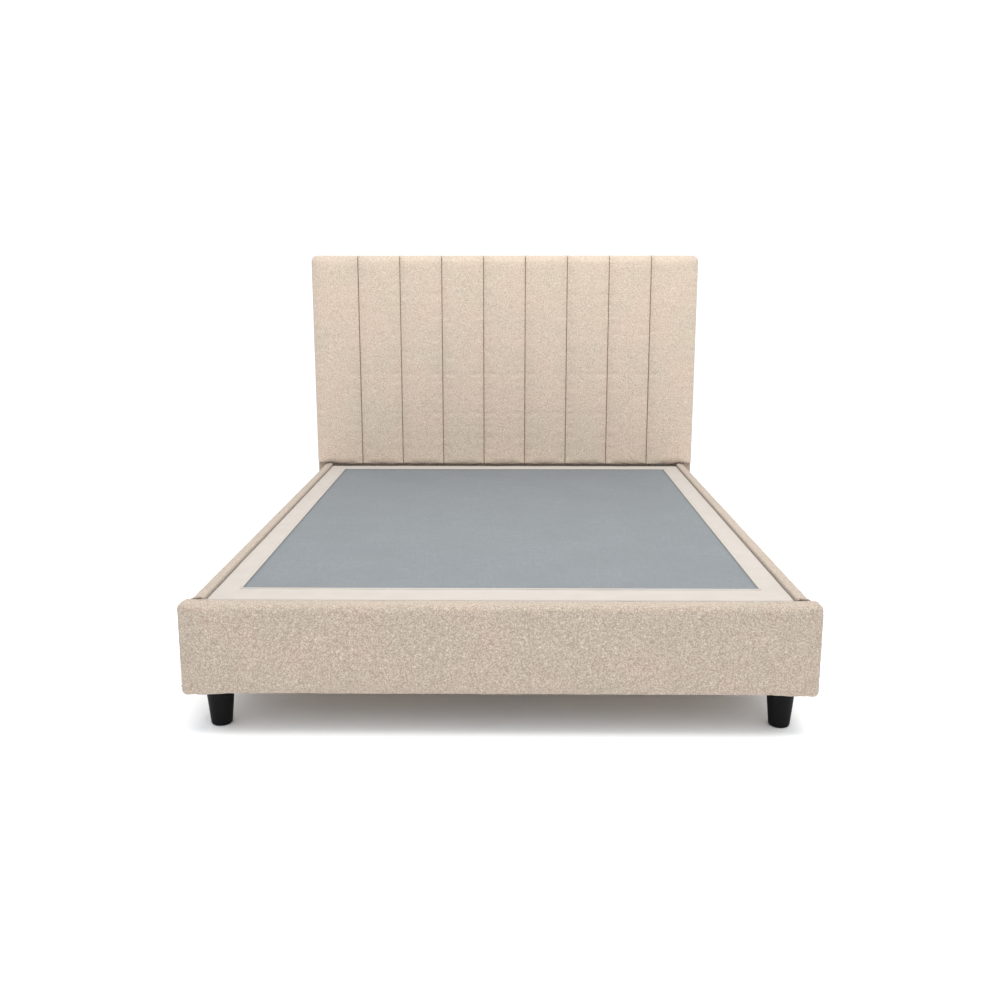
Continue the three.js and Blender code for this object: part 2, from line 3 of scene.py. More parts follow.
import bmesh
import bpy
import numpy as np
from bpy.props import FloatProperty, FloatVectorProperty, IntProperty, PointerProperty
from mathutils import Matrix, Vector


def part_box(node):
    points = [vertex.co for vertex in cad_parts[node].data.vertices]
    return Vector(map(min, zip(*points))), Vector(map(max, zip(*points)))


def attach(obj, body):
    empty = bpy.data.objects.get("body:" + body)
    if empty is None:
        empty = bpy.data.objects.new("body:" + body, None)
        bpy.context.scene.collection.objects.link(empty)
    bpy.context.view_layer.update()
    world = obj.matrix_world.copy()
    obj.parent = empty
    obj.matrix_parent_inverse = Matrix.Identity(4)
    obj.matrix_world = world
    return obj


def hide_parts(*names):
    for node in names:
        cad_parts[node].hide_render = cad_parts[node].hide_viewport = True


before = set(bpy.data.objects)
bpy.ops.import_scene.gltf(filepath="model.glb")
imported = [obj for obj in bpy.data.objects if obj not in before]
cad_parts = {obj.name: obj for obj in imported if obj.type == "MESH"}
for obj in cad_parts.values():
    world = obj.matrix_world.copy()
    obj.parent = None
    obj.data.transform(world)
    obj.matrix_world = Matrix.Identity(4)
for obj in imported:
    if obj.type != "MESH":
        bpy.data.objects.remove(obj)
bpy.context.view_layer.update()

bl_info = {
    "name": "Upholstered Channel Bed",
    "version": (1, 0, 0),
    "blender": (4, 5, 0),
    "location": "3D View > Sidebar > Bed",
    "description": "Covers, pads, stitching and finishes for a bed with a channelled headboard",
    "category": "Object",
}

SIDES = {"left": -1, "right": 1}
CORNERS = [f"{end}_{side}" for end in ("front", "rear") for side in SIDES]
SKIN = 0.0002  # gap between pieces that lie on each other
TINY = 1e-9  # keeps a division from meeting zero
SAME_PLACE = 1e-6  # points closer than this are one point
CLOTH_SETTINGS = {
    "quality": 4,
    "mass": 0.01,
    "tension_stiffness": 5,
    "compression_stiffness": 5,
    "shear_stiffness": 2.5,
    "bending_stiffness": 0.1,
    "use_pressure": True,
}


# ---- Sizes and colours -----------------------------------------------------------------------


def everyday(red, green, blue):
    """A colour in everyday steps of 0 to 255, as the linear values that Blender mixes."""
    share = np.array([red, green, blue]) / 255
    return tuple(np.where(share <= 0.04045, share / 12.92, ((share + 0.055) / 1.055) ** 2.4))


def length(name, description, default):
    return FloatProperty(
        name=name, description=description, default=default, min=0, unit="LENGTH", precision=4
    )


def colour(name, description, *default):
    return FloatVectorProperty(
        name=name,
        description=description,
        default=everyday(*default),
        subtype="COLOR",
        min=0,
        max=1,
    )


class BedHeadboardSizes(bpy.types.PropertyGroup):
    """Sizes of the headboard's channels, seams and wrapped edge."""

    channels: IntProperty(name="Channels", description="Upright channels", default=9, min=3)
    outer_extra: length("Outer extra", "Extra width of the first and last channel", 0.022)
    seam_depth: length("Seam depth", "From the crown of a channel down to its seams", 0.009)
    corner_round: length("Corner round", "Radius of the headboard's top corners", 0.026)
    foot_drop: length("Foot drop", "How far the pad hangs lower between the side rails", 0.008)
    wall: length("Pad wall", "Straight side of the pad behind its rounding", 0.014)
    swell: length("Swell", "How far the filling may push a channel out", 0.005)
    thread: length("Thread", "Diameter of the seam thread", 0.0017)
    stitch: length("Stitch", "Length of one stitch", 0.0105)
    stitch_gap: length("Stitch gap", "Cloth between two stitches", 0.0035)
    wrap: length("Wrap", "Cover turned in over the back of the frame", 0.034)
    wrap_thickness: length("Wrap thickness", "Padding over the edge of the frame", 0.0118)


class BedBaseSizes(bpy.types.PropertyGroup):
    """Sizes of the covers on the footboard, the side rails and the foundation."""

    skin: length("Cover thickness", "Padding and cloth that wrap each board", 0.006)
    upper_return: length("Upper return", "Cover turned down the inner face of a board", 0.060)
    lower_return: length("Lower return", "Cover turned up from a board's lower edge", 0.0243)
    board_cover: length("Inner padding", "Cover over the inner face of a board", 0.0098)
    foot_round: length("Footboard round", "Radius along the footboard's top edge", 0.019)
    foot_inner_round: length("Footboard inner round", "Radius beside the foundation", 0.008)
    end_swell: length("End swell", "Fullness of the padding at the footboard's ends", 0.003)
    rail_round: length("Rail round", "Radius along a rail's outer top edge", 0.017)
    inner_round: length("Inner round", "Radius along a rail's inner top edge", 0.006)
    low_round: length("Lower round", "Radius along the lower edges", 0.007)
    end_round: length("End round", "Radius down the footboard's two ends", 0.020)
    crease: length("End crease", "From each end of the footboard to its upright crease", 0.035)
    swell: length("Swell", "How far the filling may push a cover out", 0.004)
    border_round: length("Border round", "Radius over the foundation's top edge", 0.006)
    border_corner: length("Border corner", "Radius of the foundation's upright corners", 0.005)
    border_cloth: length("Border cloth", "Thickness of the foundation's cover", 0.0016)
    piping: length("Piping", "Radius of the piping round the deck cloth", 0.0026)
    deck_cloth: length("Deck cloth", "Thickness of the deck cloth", 0.0012)
    back_cloth: length("Back cloth", "Thickness of the cloth behind the headboard", 0.0009)


class BedColours(bpy.types.PropertyGroup):
    """Colours of the cloths, threads, timbers and metals."""

    boucle: colour("Boucle", "Yarn of the textured upholstery", 213, 198, 183)
    boucle_warm: colour("Boucle, warm", "Pinkish fleck in the yarn", 218, 194, 179)
    boucle_cool: colour("Boucle, cool", "Greenish fleck in the yarn", 196, 190, 172)
    # Painted shade: the colour of the hollows between the loops and of the dark specks.
    boucle_painted_shade: colour("Boucle, shade", "Hollows between the loops", 166, 148, 131)
    thread: colour("Thread", "Seam thread", 92, 66, 50)
    border: colour("Border", "Plain cloth round the foundation", 178, 170, 162)
    deck: colour("Deck cloth", "Panel in the middle of the foundation", 117, 121, 124)
    piping: colour("Piping", "Piping round the panel", 188, 180, 171)
    dust: colour("Back cloth", "Cloth behind the headboard", 44, 42, 41)
    pine: colour("Pine", "Light wood between the growth rings", 216, 190, 152)
    pine_ring: colour("Pine ring", "Dark wood of the growth rings", 178, 138, 98)
    ply: colour("Plywood", "Face veneer", 204, 174, 136)
    ply_dark: colour("Plywood core", "Cross plies on an edge", 138, 96, 58)
    black: colour("Black", "Legs and glides", 6, 6, 6)
    steel: colour("Black steel", "Powder coat on the beam and its cradles", 30, 31, 33)
    zinc: colour("Zinc", "Plated brackets, bolts and staples", 176, 180, 184)
    floor: colour("Floor", "Floor under the bed", 250, 250, 250)


class BedStage(bpy.types.PropertyGroup):
    """Where the camera and the lights stand."""

    height: length("Camera height", "Above the floor", 1.180)
    distance: length("Camera distance", "In front of the footboard's inner face", 2.678)
    aside: length("Camera aside", "To the right of the bed's middle", 0.027)
    tilt: FloatProperty(
        name="Tilt",
        description="How far the camera looks down",
        default=math.radians(11.71),
        subtype="ANGLE",
    )
    turn: FloatProperty(
        name="Turn",
        description="How far the camera turns to the left",
        default=math.radians(0.56),
        subtype="ANGLE",
    )
    lens: FloatProperty(name="Lens", description="Focal length", default=38.4, unit="CAMERA")
    sky: FloatProperty(name="Sky", description="Strength of the even light", default=1.18)
    key: FloatProperty(name="Key", description="Power of the top light", default=110, unit="POWER")
    fill: FloatProperty(name="Fill", description="Power of the low light", default=42, unit="POWER")


# ---- Meshes ----------------------------------------------------------------------------------


def box(node):
    low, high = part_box(node)
    return np.array(low), np.array(high)


def grid_quads(rows, columns, rows_close=False, columns_close=False):
    """Quads between each point, the next in its row, and the same two in the next row."""
    row, column = np.meshgrid(
        np.arange(rows if rows_close else rows - 1),
        np.arange(columns if columns_close else columns - 1),
        indexing="ij",
    )
    next_row = (row + 1) % rows
    next_column = (column + 1) % columns
    corners = [
        row * columns + column,
        row * columns + next_column,
        next_row * columns + next_column,
        next_row * columns + column,
    ]
    return np.stack(corners, axis=-1).reshape(-1, 4)


def outward(points, quads):
    """The quads turned so that most of them face away from the middle of the shape."""
    corners = points[quads]
    normal = np.cross(corners[:, 2] - corners[:, 0], corners[:, 3] - corners[:, 1])
    facing = np.einsum("ij,ij->", corners.mean(axis=1) - points.mean(axis=0), normal)
    return quads if facing > 0 else quads[:, ::-1]


def add_piece(name, points, faces, body, finish):
    """A smooth-shaded piece from its points and faces, with a finish by name, riding on a body."""
    mesh = bpy.data.meshes.new(name)
    mesh.from_pydata(np.asarray(points).reshape(-1, 3).tolist(), [], faces)
    mesh.polygons.foreach_set("use_smooth", np.ones(len(mesh.polygons), dtype=bool))
    mesh.materials.append(finish_of(finish))
    mesh.update()
    piece = bpy.data.objects.new(name, mesh)
    bpy.context.collection.objects.link(piece)
    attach(piece, body)
    return piece


def thicken(piece, thickness):
    """Gives an open skin a wall on its inner side."""
    wall = piece.modifiers.new("wall", "SOLIDIFY")
    wall.thickness = thickness
    wall.offset = -1
    wall.use_even_offset = False


def refine(piece):
    smooth = piece.modifiers.new("smooth", "SUBSURF")
    smooth.levels = 1
    smooth.render_levels = 1


def coordinates(mesh):
    values = np.empty(len(mesh.vertices) * 3)
    mesh.vertices.foreach_get("co", values)
    return values.reshape(-1, 3)


def point_normals(mesh):
    values = np.empty(len(mesh.vertices) * 3)
    mesh.vertex_normals.foreach_get("vector", values)
    return values.reshape(-1, 3)


def inflate(piece, reach, slack, pressure=4.0, frames=20):
    """The filling's push. A cloth simulation with pressure inside swells the skin, and then no point
    is further from where it started than its own reach. Points with no reach are sewn down."""
    mesh = piece.data
    start = coordinates(mesh)
    sewn = piece.vertex_groups.new(name="sewn")
    sewn.add(np.nonzero(reach <= 0)[0].tolist(), 1, "REPLACE")
    cloth = piece.modifiers.new("filling", "CLOTH")
    for name, value in CLOTH_SETTINGS.items():
        setattr(cloth.settings, name, value)
    cloth.settings.shrink_min = -slack
    cloth.settings.uniform_pressure_force = pressure
    cloth.settings.vertex_group_mass = sewn.name
    cloth.settings.effector_weights.gravity = 0
    cloth.point_cache.frame_start = 1
    cloth.point_cache.frame_end = frames
    for number in range(1, frames + 1):
        bpy.context.scene.frame_set(number)
    swollen = piece.evaluated_get(bpy.context.evaluated_depsgraph_get())
    push = coordinates(swollen.data) - start
    distance = np.linalg.norm(push, axis=1)
    share = np.minimum(1, reach / np.maximum(distance, TINY))
    moved = start + push * share[:, None]
    piece.modifiers.remove(cloth)
    piece.vertex_groups.remove(sewn)
    bpy.context.scene.frame_set(1)
    mesh.vertices.foreach_set("co", moved.ravel())
    mesh.update()


def uneven(points, wavelength, seed, waves=12):
    """A smooth unevenness from -1 to 1: twice the mean of sine waves that run in different
    directions, each about one wavelength long."""
    random = np.random.default_rng(seed)
    direction = random.normal(size=(waves, 3))
    direction /= np.linalg.norm(direction, axis=1)[:, None]
    turns = 2 * math.pi / (wavelength * random.uniform(0.7, 1.4, size=waves))
    phase = random.uniform(0, 2 * math.pi, size=waves)
    return np.sin(points @ (direction * turns[:, None]).T + phase).mean(axis=1) * 2


def roughen(piece, amount, wavelength, seed, chosen=True):
    """Moves the chosen points along their normals by the unevenness, as lumpy yarn and wadding do."""
    mesh = piece.data
    points = coordinates(mesh)
    lift = amount * uneven(points, wavelength, seed) * chosen
    mesh.vertices.foreach_set("co", (points + point_normals(mesh) * lift[:, None]).ravel())
    mesh.update()


def keep_value(piece, name, values):
    """Stores one number for each point, which a finish can read."""
    attribute = piece.data.attributes.new(name, "FLOAT", "POINT")
    attribute.data.foreach_set("value", np.asarray(values, dtype=np.float32))


def arc(centre, radius, start, end, count):
    """Points on a circle from one angle to another, in degrees."""
    angle = np.radians(np.linspace(start, end, count))
    return np.stack([centre[0] + radius * np.cos(angle), centre[1] + radius * np.sin(angle)], axis=1)


def line(start, end, step):
    """Evenly spaced points from start up to, but without, the end."""
    start, end = np.asarray(start, float), np.asarray(end, float)
    count = max(1, int(round(np.linalg.norm(end - start) / step)))
    return start + (end - start) * (np.arange(count) / count)[:, None]


def turned(profile, sides=56):
    """A profile of (radius, height) turned about Z: x = r cos a, y = r sin a, z = height."""
    profile = np.asarray(profile)
    angle = np.linspace(0, 2 * math.pi, sides, endpoint=False)
    x = profile[:, :1] * np.cos(angle)
    y = profile[:, :1] * np.sin(angle)
    z = np.repeat(profile[:, 1:], sides, axis=1)
    return np.stack([x, y, z], axis=-1)


def ring_tube(path, radius, sides):
    """A round section carried round a closed path: centre + radius (cos a * across + sin a * up)."""
    along = np.roll(path, -1, axis=0) - np.roll(path, 1, axis=0)
    along /= np.linalg.norm(along, axis=1)[:, None]
    up = np.tile([0.0, 0.0, 1.0], (len(path), 1))
    across = np.cross(along, up)
    across /= np.linalg.norm(across, axis=1)[:, None]
    up = np.cross(across, along)
    angle = np.linspace(0, 2 * math.pi, sides, endpoint=False)[None, :, None]
    ring = np.cos(angle) * across[:, None] + np.sin(angle) * up[:, None]
    return path[:, None] + radius * ring


# ---- Finishes --------------------------------------------------------------------------------


class Finish:
    """A procedural material being put together. Each method adds a node and gives its output."""

    def __init__(self, name, roughness, **constants):
        self.material = bpy.data.materials.new(name)
        self.material.use_nodes = True
        self.tree = self.material.node_tree
        self.shader = self.tree.nodes["Principled BSDF"]
        self.shader.inputs["Roughness"].default_value = roughness
        for socket, value in constants.items():
            self.shader.inputs[socket.replace("_", " ")].default_value = value
        self.place = self.node("TexCoord").outputs["Object"]

    def node(self, kind, inputs=None, **settings):
        node = self.tree.nodes.new("ShaderNode" + kind)
        for name, value in settings.items():
            setattr(node, name, value)
        for socket, value in (inputs or {}).items():
            if isinstance(value, bpy.types.NodeSocket):
                self.tree.links.new(value, node.inputs[socket])
            else:
                node.inputs[socket].default_value = value
        return node

    def stretched(self, scale, turn=(0, 0, 0)):
        inputs = {"Vector": self.place, "Scale": scale, "Rotation": turn}
        return self.node("Mapping", inputs).outputs["Vector"]

    def noise(self, size, detail=2.0, place=None, distortion=0.0):
        inputs = {
            "Vector": place or self.place,
            "Scale": 1 / size,
            "Detail": detail,
            "Distortion": distortion,
        }
        return self.node("TexNoise", inputs).outputs["Fac"]

    def cells(self, size, randomness=1.0):
        inputs = {"Vector": self.place, "Scale": 1 / size, "Randomness": randomness}
        return self.node("TexVoronoi", inputs).outputs["Distance"]

    def bands(self, direction, period, distortion=0.0):
        # One wave of the texture is 2 pi / 20 long at scale 1.
        scale = 2 * math.pi / (20 * period)
        inputs = {"Vector": self.place, "Scale": scale, "Distortion": distortion}
        return self.node("TexWave", inputs, bands_direction=direction).outputs["Fac"]

    def sum(self, first, second, second_share=1.0):
        inputs = {0: second, 1: second_share, 2: first}
        return self.node("Math", inputs, operation="MULTIPLY_ADD").outputs[0]

    def spread(self, value, low, high):
        inputs = {"Value": value, "From Min": low, "From Max": high}
        return self.node("MapRange", inputs).outputs["Result"]

    def blend(self, share, first, second):
        inputs = {0: share, 6: first, 7: second}
        return self.node("Mix", inputs, data_type="RGBA").outputs[2]

    def stored(self, name):
        return self.node("Attribute", attribute_name=name).outputs["Fac"]

    def bump(self, height, depth, strength=1.0, under=None):
        inputs = {"Height": height, "Distance": depth, "Strength": strength}
        if under is not None:
            inputs["Normal"] = under
        return self.node("Bump", inputs).outputs["Normal"]

    def done(self, colour, normal=None, roughness=None):
        self.tree.links.new(colour, self.shader.inputs["Base Color"])
        if normal is not None:
            self.tree.links.new(normal, self.shader.inputs["Normal"])
        if roughness is not None:
            self.tree.links.new(roughness, self.shader.inputs["Roughness"])
        return self.material


def paint(value, share=1.0):
    return tuple(channel * share for channel in value) + (1.0,)


def boucle_finish(name, loop, contrast, share, seams=False):
    """Looped yarn: round loops with finer fibres in them, level threads, a heathered fleck, painted
    shade in the hollows between the loops and in dark specks, painted highlights in light specks, and a
    slow drift of tone. The share lightens or darkens every colour, and so paints light and shade on one
    cloth."""
    colours = bpy.context.scene.bed_colours
    cool = paint(colours.boucle_cool, share)
    warm = paint(colours.boucle_warm, share)
    plain = paint(colours.boucle, share)
    shade = paint(colours.boucle_painted_shade, share)
    finish = Finish(name, 0.95, Sheen_Weight=0.18, Sheen_Roughness=0.5, Specular_IOR_Level=0.2)
    loops = finish.cells(loop)
    fibres = finish.noise(loop * 0.35, detail=3)
    fleck = finish.noise(loop * 2.6, detail=3)
    hollow = finish.spread(finish.sum(loops, fibres, 0.6), 0.45, 1.05)
    drift = finish.spread(finish.noise(0.16, detail=3), 0.36, 0.64)
    yarn = finish.blend(drift, cool, warm)
    yarn = finish.blend(finish.spread(fleck, 0.30, 0.62), yarn, plain)
    speck = finish.noise(loop * 1.4, detail=4)
    level = finish.noise(0.0022, detail=2, place=finish.stretched((0.16, 0.16, 1)))
    hollow = finish.sum(hollow, finish.spread(level, 0.55, 0.75), 0.35)
    # Painted shade: the hollows between the loops and the level threads darken the yarn towards the
    # shade colour.
    shaded = finish.blend(finish.spread(hollow, 0, 1 / contrast), yarn, shade)
    # Painted shade in dark specks, and painted highlights in light specks that are brighter than the
    # yarn's own colour.
    pit_shade = paint(colours.boucle_painted_shade, share * 0.7)
    loop_highlight = paint(colours.boucle, share * 1.4)
    shaded = finish.blend(finish.spread(speck, 0.58, 0.86), shaded, pit_shade)
    shaded = finish.blend(finish.spread(speck, 0.42, 0.16), shaded, loop_highlight)
    # Painted shade in the seam grooves, in the thread's colour, where the pad's seam value is high.
    if seams:
        near = finish.stored("seam")
        groove_shade = finish.sum(near, finish.noise(0.006), 0.35)
        shaded = finish.blend(finish.spread(groove_shade, 0.72, 1.2), shaded, paint(colours.thread))
    loose = finish.bump(fleck, 0.0012, 0.5)
    relief = finish.bump(hollow, -0.0011, 0.8, under=loose)
    return finish.done(shaded, relief)


def plain_cloth_finish(name, tone, thread):
    """Plain weave: upright and level threads as three crossed sets of bands, with slubs."""
    finish = Finish(name, 0.88, Sheen_Weight=0.1, Sheen_Roughness=0.5)
    weave = finish.sum(finish.bands("X", thread), finish.bands("Y", thread))
    weave = finish.sum(weave, finish.bands("Z", thread))
    slub = finish.noise(thread * 6, detail=3)
    drift = finish.noise(0.12, detail=2)
    tint = finish.spread(finish.sum(slub, drift, 0.8), 0.5, 1.3)
    base = finish.blend(tint, paint(tone, 0.90), paint(tone, 1.05))
    base = finish.blend(finish.spread(weave, 0.4, 3.4), paint(tone, 0.86), base)
    relief = finish.bump(weave, 0.0003, 0.5)
    relief = finish.bump(drift, 0.004, 0.25, under=relief)
    return finish.done(base, relief)


def felted_finish(name, tone, pitch):
    """Non-woven cloth: laid fibres in two directions and rows of small pressed points."""
    finish = Finish(name, 0.9, Specular_IOR_Level=0.25)
    laid = finish.noise(0.004, detail=4, place=finish.stretched((1, 0.12, 0.5)))
    crossed = finish.noise(0.004, detail=4, place=finish.stretched((0.12, 1, 0.5), (0, 0, 0.4)))
    fibres = finish.sum(laid, crossed)
    points = finish.spread(finish.cells(pitch, randomness=0.0), 0.1, 0.45)
    cloud = finish.spread(finish.noise(0.2, detail=3), 0.3, 0.7)
    base = finish.blend(cloud, paint(tone, 0.94), paint(tone, 1.04))
    base = finish.blend(finish.spread(fibres, 0.7, 1.3), paint(tone, 0.86), base)
    relief = finish.bump(points, 0.0003, 0.6)
    relief = finish.bump(fibres, 0.0002, 0.5, under=relief)
    return finish.done(base, relief)


def timber_finish(name, along):
    """Sawn pine: growth rings and fibres drawn out along the board, and the odd darker streak."""
    colours = bpy.context.scene.bed_colours
    finish = Finish(name, 0.62)
    drawn = [1.0, 1.0, 1.0]
    drawn["XYZ".index(along)] = 0.06
    board = finish.stretched(drawn)
    rings = finish.noise(0.018, detail=2, place=board, distortion=1.2)
    fibres = finish.noise(0.0016, detail=3, place=board)
    streak = finish.noise(0.05, detail=2, place=board)
    tone = finish.spread(finish.sum(rings, fibres, 0.25), 0.42, 0.82)
    wood = finish.blend(tone, paint(colours.pine), paint(colours.pine_ring))
    wood = finish.blend(finish.spread(streak, 0.55, 0.9), wood, paint(colours.pine_ring, 0.85))
    relief = finish.bump(fibres, 0.0004, 0.5)
    return finish.done(wood, relief, finish.spread(fibres, -1.2, 2.2))


def plywood_finish(name, through, ply=0.0032):
    """Plywood: veneer grain on the faces, and light and dark plies where an edge is cut."""
    colours = bpy.context.scene.bed_colours
    finish = Finish(name, 0.7)
    veneer = finish.noise(0.012, detail=3, place=finish.stretched((0.08, 1, 1)), distortion=0.8)
    fibres = finish.noise(0.0018, detail=3, place=finish.stretched((0.08, 1, 1)))
    face = finish.blend(finish.spread(veneer, 0.3, 0.7), paint(colours.ply), paint(colours.ply, 0.8))
    plies = finish.bands(through, ply, distortion=0.3)
    shown = finish.blend(finish.spread(plies, 0.55, 1.6), face, paint(colours.ply_dark))
    return finish.done(shown, finish.bump(fibres, 0.0003, 0.5))


def moulded_finish(name, tone, roughness):
    """Moulded plastic: a fine even grain and a slow change of gloss."""
    finish = Finish(name, roughness, Specular_IOR_Level=0.12)
    grain = finish.noise(0.0007, detail=2)
    slow = finish.noise(0.04, detail=2)
    base = finish.blend(slow, paint(tone, 0.85), paint(tone, 1.2))
    gloss = finish.sum(finish.spread(slow, -2.0, 2.6), grain, 0.12)
    return finish.done(base, finish.bump(grain, 0.0001, 0.35), gloss)


def steel_finish(name, tone, roughness, metallic, grain):
    """Coated or plated steel: pebbled or crystalline skin with light rubbing."""
    finish = Finish(name, roughness, Metallic=metallic)
    skin = finish.cells(grain)
    rubbed = finish.noise(0.015, detail=4)
    base = finish.blend(finish.spread(skin, 0.1, 0.9), paint(tone), paint(tone, 0.8))
    base = finish.blend(finish.spread(rubbed, 0.55, 1.1), base, paint(tone, 1.25))
    return finish.done(base, finish.bump(skin, 0.0002, 0.4))


def finish_of(name):
    """The finish with this name, made the first time that a piece asks for it."""
    made = bpy.data.materials.get(name)
    if made:
        return made
    colours = bpy.context.scene.bed_colours
    makers = {
        # The two boucle finishes are one cloth: share 0.87 paints the channels lighter and share 0.71
        # paints the rails, wrap, apron and footboard darker, as painted light and shade.
        "channel_boucle": lambda: boucle_finish(name, 0.0028, 0.80, 0.87, seams=True),
        "rail_boucle": lambda: boucle_finish(name, 0.0036, 0.90, 0.71),
        "border_cloth": lambda: plain_cloth_finish(name, colours.border, 0.0011),
        "piping_cloth": lambda: plain_cloth_finish(name, colours.piping, 0.0008),
        "seam_thread": lambda: plain_cloth_finish(name, colours.thread, 0.0006),
        "deck_felt": lambda: felted_finish(name, colours.deck, 0.0026),
        "dust_felt": lambda: felted_finish(name, colours.dust, 0.0018),
        "pine_along_x": lambda: timber_finish(name, "X"),
        "pine_along_y": lambda: timber_finish(name, "Y"),
        "pine_along_z": lambda: timber_finish(name, "Z"),
        "plywood_upright": lambda: plywood_finish(name, "Y"),
        "plywood_level": lambda: plywood_finish(name, "Z"),
        "leg_plastic": lambda: moulded_finish(name, colours.black, 0.42),
        "glide_plastic": lambda: moulded_finish(name, colours.black, 0.6),
        "black_steel": lambda: steel_finish(name, colours.steel, 0.5, 0.0, 0.0012),
        "zinc_steel": lambda: steel_finish(name, colours.zinc, 0.34, 1.0, 0.006),
    }
    return makers[name]()


# ---- Headboard -------------------------------------------------------------------------------


def seam_places(half_width):
    """X of the seams between channels. They are evenly spaced, and the outer channels are wider."""
    sizes = bpy.context.scene.bed_headboard
    inner = half_width - sizes.outer_extra
    return np.linspace(-inner, inner, sizes.channels + 1)[1:-1]


def channel_columns(half_width):
    """Shares of the width, closer together at the seams and round the two edges, with the seams'
    own columns. Between two seams x = middle + half pitch * sin(a), with a even from -90 to 90."""
    sizes = bpy.context.scene.bed_headboard
    seams = seam_places(half_width)
    swing = np.sin(np.linspace(-math.pi / 2, math.pi / 2, 15))[:-1]
    edge = half_width - sizes.corner_round * (1 - np.cos(np.linspace(0, math.pi / 2, 7)))
    ramp = np.linspace(0, math.pi / 2, 12)[1:]
    inner_edge = edge[-1]
    outer = inner_edge + (seams[-1] - inner_edge) * np.sin(ramp)
    right = np.concatenate([edge, outer[:-1]])[::-1]
    middle = [
        (low + high) / 2 + (high - low) / 2 * swing for low, high in zip(seams[:-1], seams[1:])
    ]
    return np.concatenate([-right[::-1], *middle, seams[-1:], right])


def foot_drop(x, height_above):
    """How far the pad's foot hangs lower: drop * across(x) * up(h), where across falls from 1 to 0
    over the fade and reaches 0 at the gap before each rail, and up falls from 1 to 0 over the rise."""
    gap, fade, rise = 0.006, 0.010, 0.060
    rail_inner = box("side_rail_cover_right")[0][0]
    across = np.clip((rail_inner - gap - np.abs(x)) / fade, 0, 1)
    up = np.clip(1 - height_above / rise, 0, 1)
    return bpy.context.scene.bed_headboard.foot_drop * across * up


def channel_pad():
    """Points of the channelled pad. Its outline is a rectangle with rounded top corners. At distance
    d inside the outline the front stands wall + (depth - swell - wall - seam depth * fall) * round(d)
    off the back, where round(d) is a quarter circle and fall goes from 0 at a crown to 1 at a seam.
    The seams' points sit a little lower than their neighbours, and the foot hangs lower between the
    rails."""
    sizes = bpy.context.scene.bed_headboard
    low, high = box("headboard_channel_pad")
    half, depth, radius = high[0], high[1] - low[1], sizes.corner_round
    easing = 1 - np.cos(np.linspace(0, math.pi / 2, 7))
    base_round, row_step = radius / 3, 0.0115
    levels = np.concatenate(
        [
            low[2] + base_round * easing,
            np.arange(low[2] + base_round, high[2] - radius, row_step)[1:-1],
            (high[2] - radius * easing)[::-1],
        ]
    )
    columns = channel_columns(half)
    x, z = np.meshgrid(columns, levels)
    # Rows in the top corners are drawn in to the outline's rounding.
    up = np.clip(z - (high[2] - radius), 0, radius)
    edge = half - radius + np.sqrt(radius**2 - up**2)
    inner = seam_places(half)[-1]
    stretch = np.clip((np.abs(x) - inner) / (half - inner), 0, 1)
    x = np.sign(x) * (np.abs(x) - stretch * (half - edge))
    beside = np.abs(x) - (half - radius)
    corner = (beside > 0) & (up > 0)
    straight = np.minimum(half - np.abs(x), high[2] - z)
    inside = np.where(corner, radius - np.hypot(beside, up), straight)
    inside = np.clip(np.minimum(inside, (z - low[2]) * radius / base_round), 0, radius)
    rounding = np.sqrt(np.clip(1 - (1 - inside / radius) ** 2, 0, 1))
    seams = seam_places(half)
    pitch = seams[1] - seams[0]
    near = np.abs(x[..., None] - seams).min(axis=-1)
    away = np.clip(1 - near / (pitch / 2), 0, 1)
    groove, dip_reach, dip_depth = 0.007, 0.012, 0.0040
    fall = 0.25 * away**2 + 0.30 * away**6 + 0.45 * np.exp(-((near / groove) ** 2))
    sewn_depth = sizes.seam_depth * fall
    stands = sizes.wall + (depth - sizes.swell - sizes.wall - sewn_depth) * rounding
    near_top = np.clip(1 - (high[2] - z) / (2 * radius), 0, 1)
    dip = dip_depth * np.exp(-((near / dip_reach) ** 2)) * near_top
    level = z - dip - foot_drop(x, z - low[2])
    front = np.stack([x, high[1] - stands, level], axis=-1)
    return front, near, inside


def rim_of(rows, columns):
    """The numbers of a grid's outermost points, in order round it."""
    number = np.arange(rows * columns).reshape(rows, columns)
    sides = [number[0, :-1], number[:-1, -1], number[-1, ::-1][:-1], number[::-1, 0][:-1]]
    return np.concatenate(sides)


def backed(front, back_y):
    """A grid of front points closed with a wall and a flat back that has the same grid."""
    rows, columns = front.shape[:2]
    back = front.copy()
    back[..., 1] = back_y
    points = np.concatenate([front.reshape(-1, 3), back.reshape(-1, 3)])
    rim = rim_of(rows, columns)
    after = np.roll(rim, -1)
    shift = rows * columns
    quads = grid_quads(rows, columns)
    wall = np.stack([rim, rim + shift, after + shift, after], axis=1)
    return points, np.concatenate([quads, quads[:, ::-1] + shift, wall])


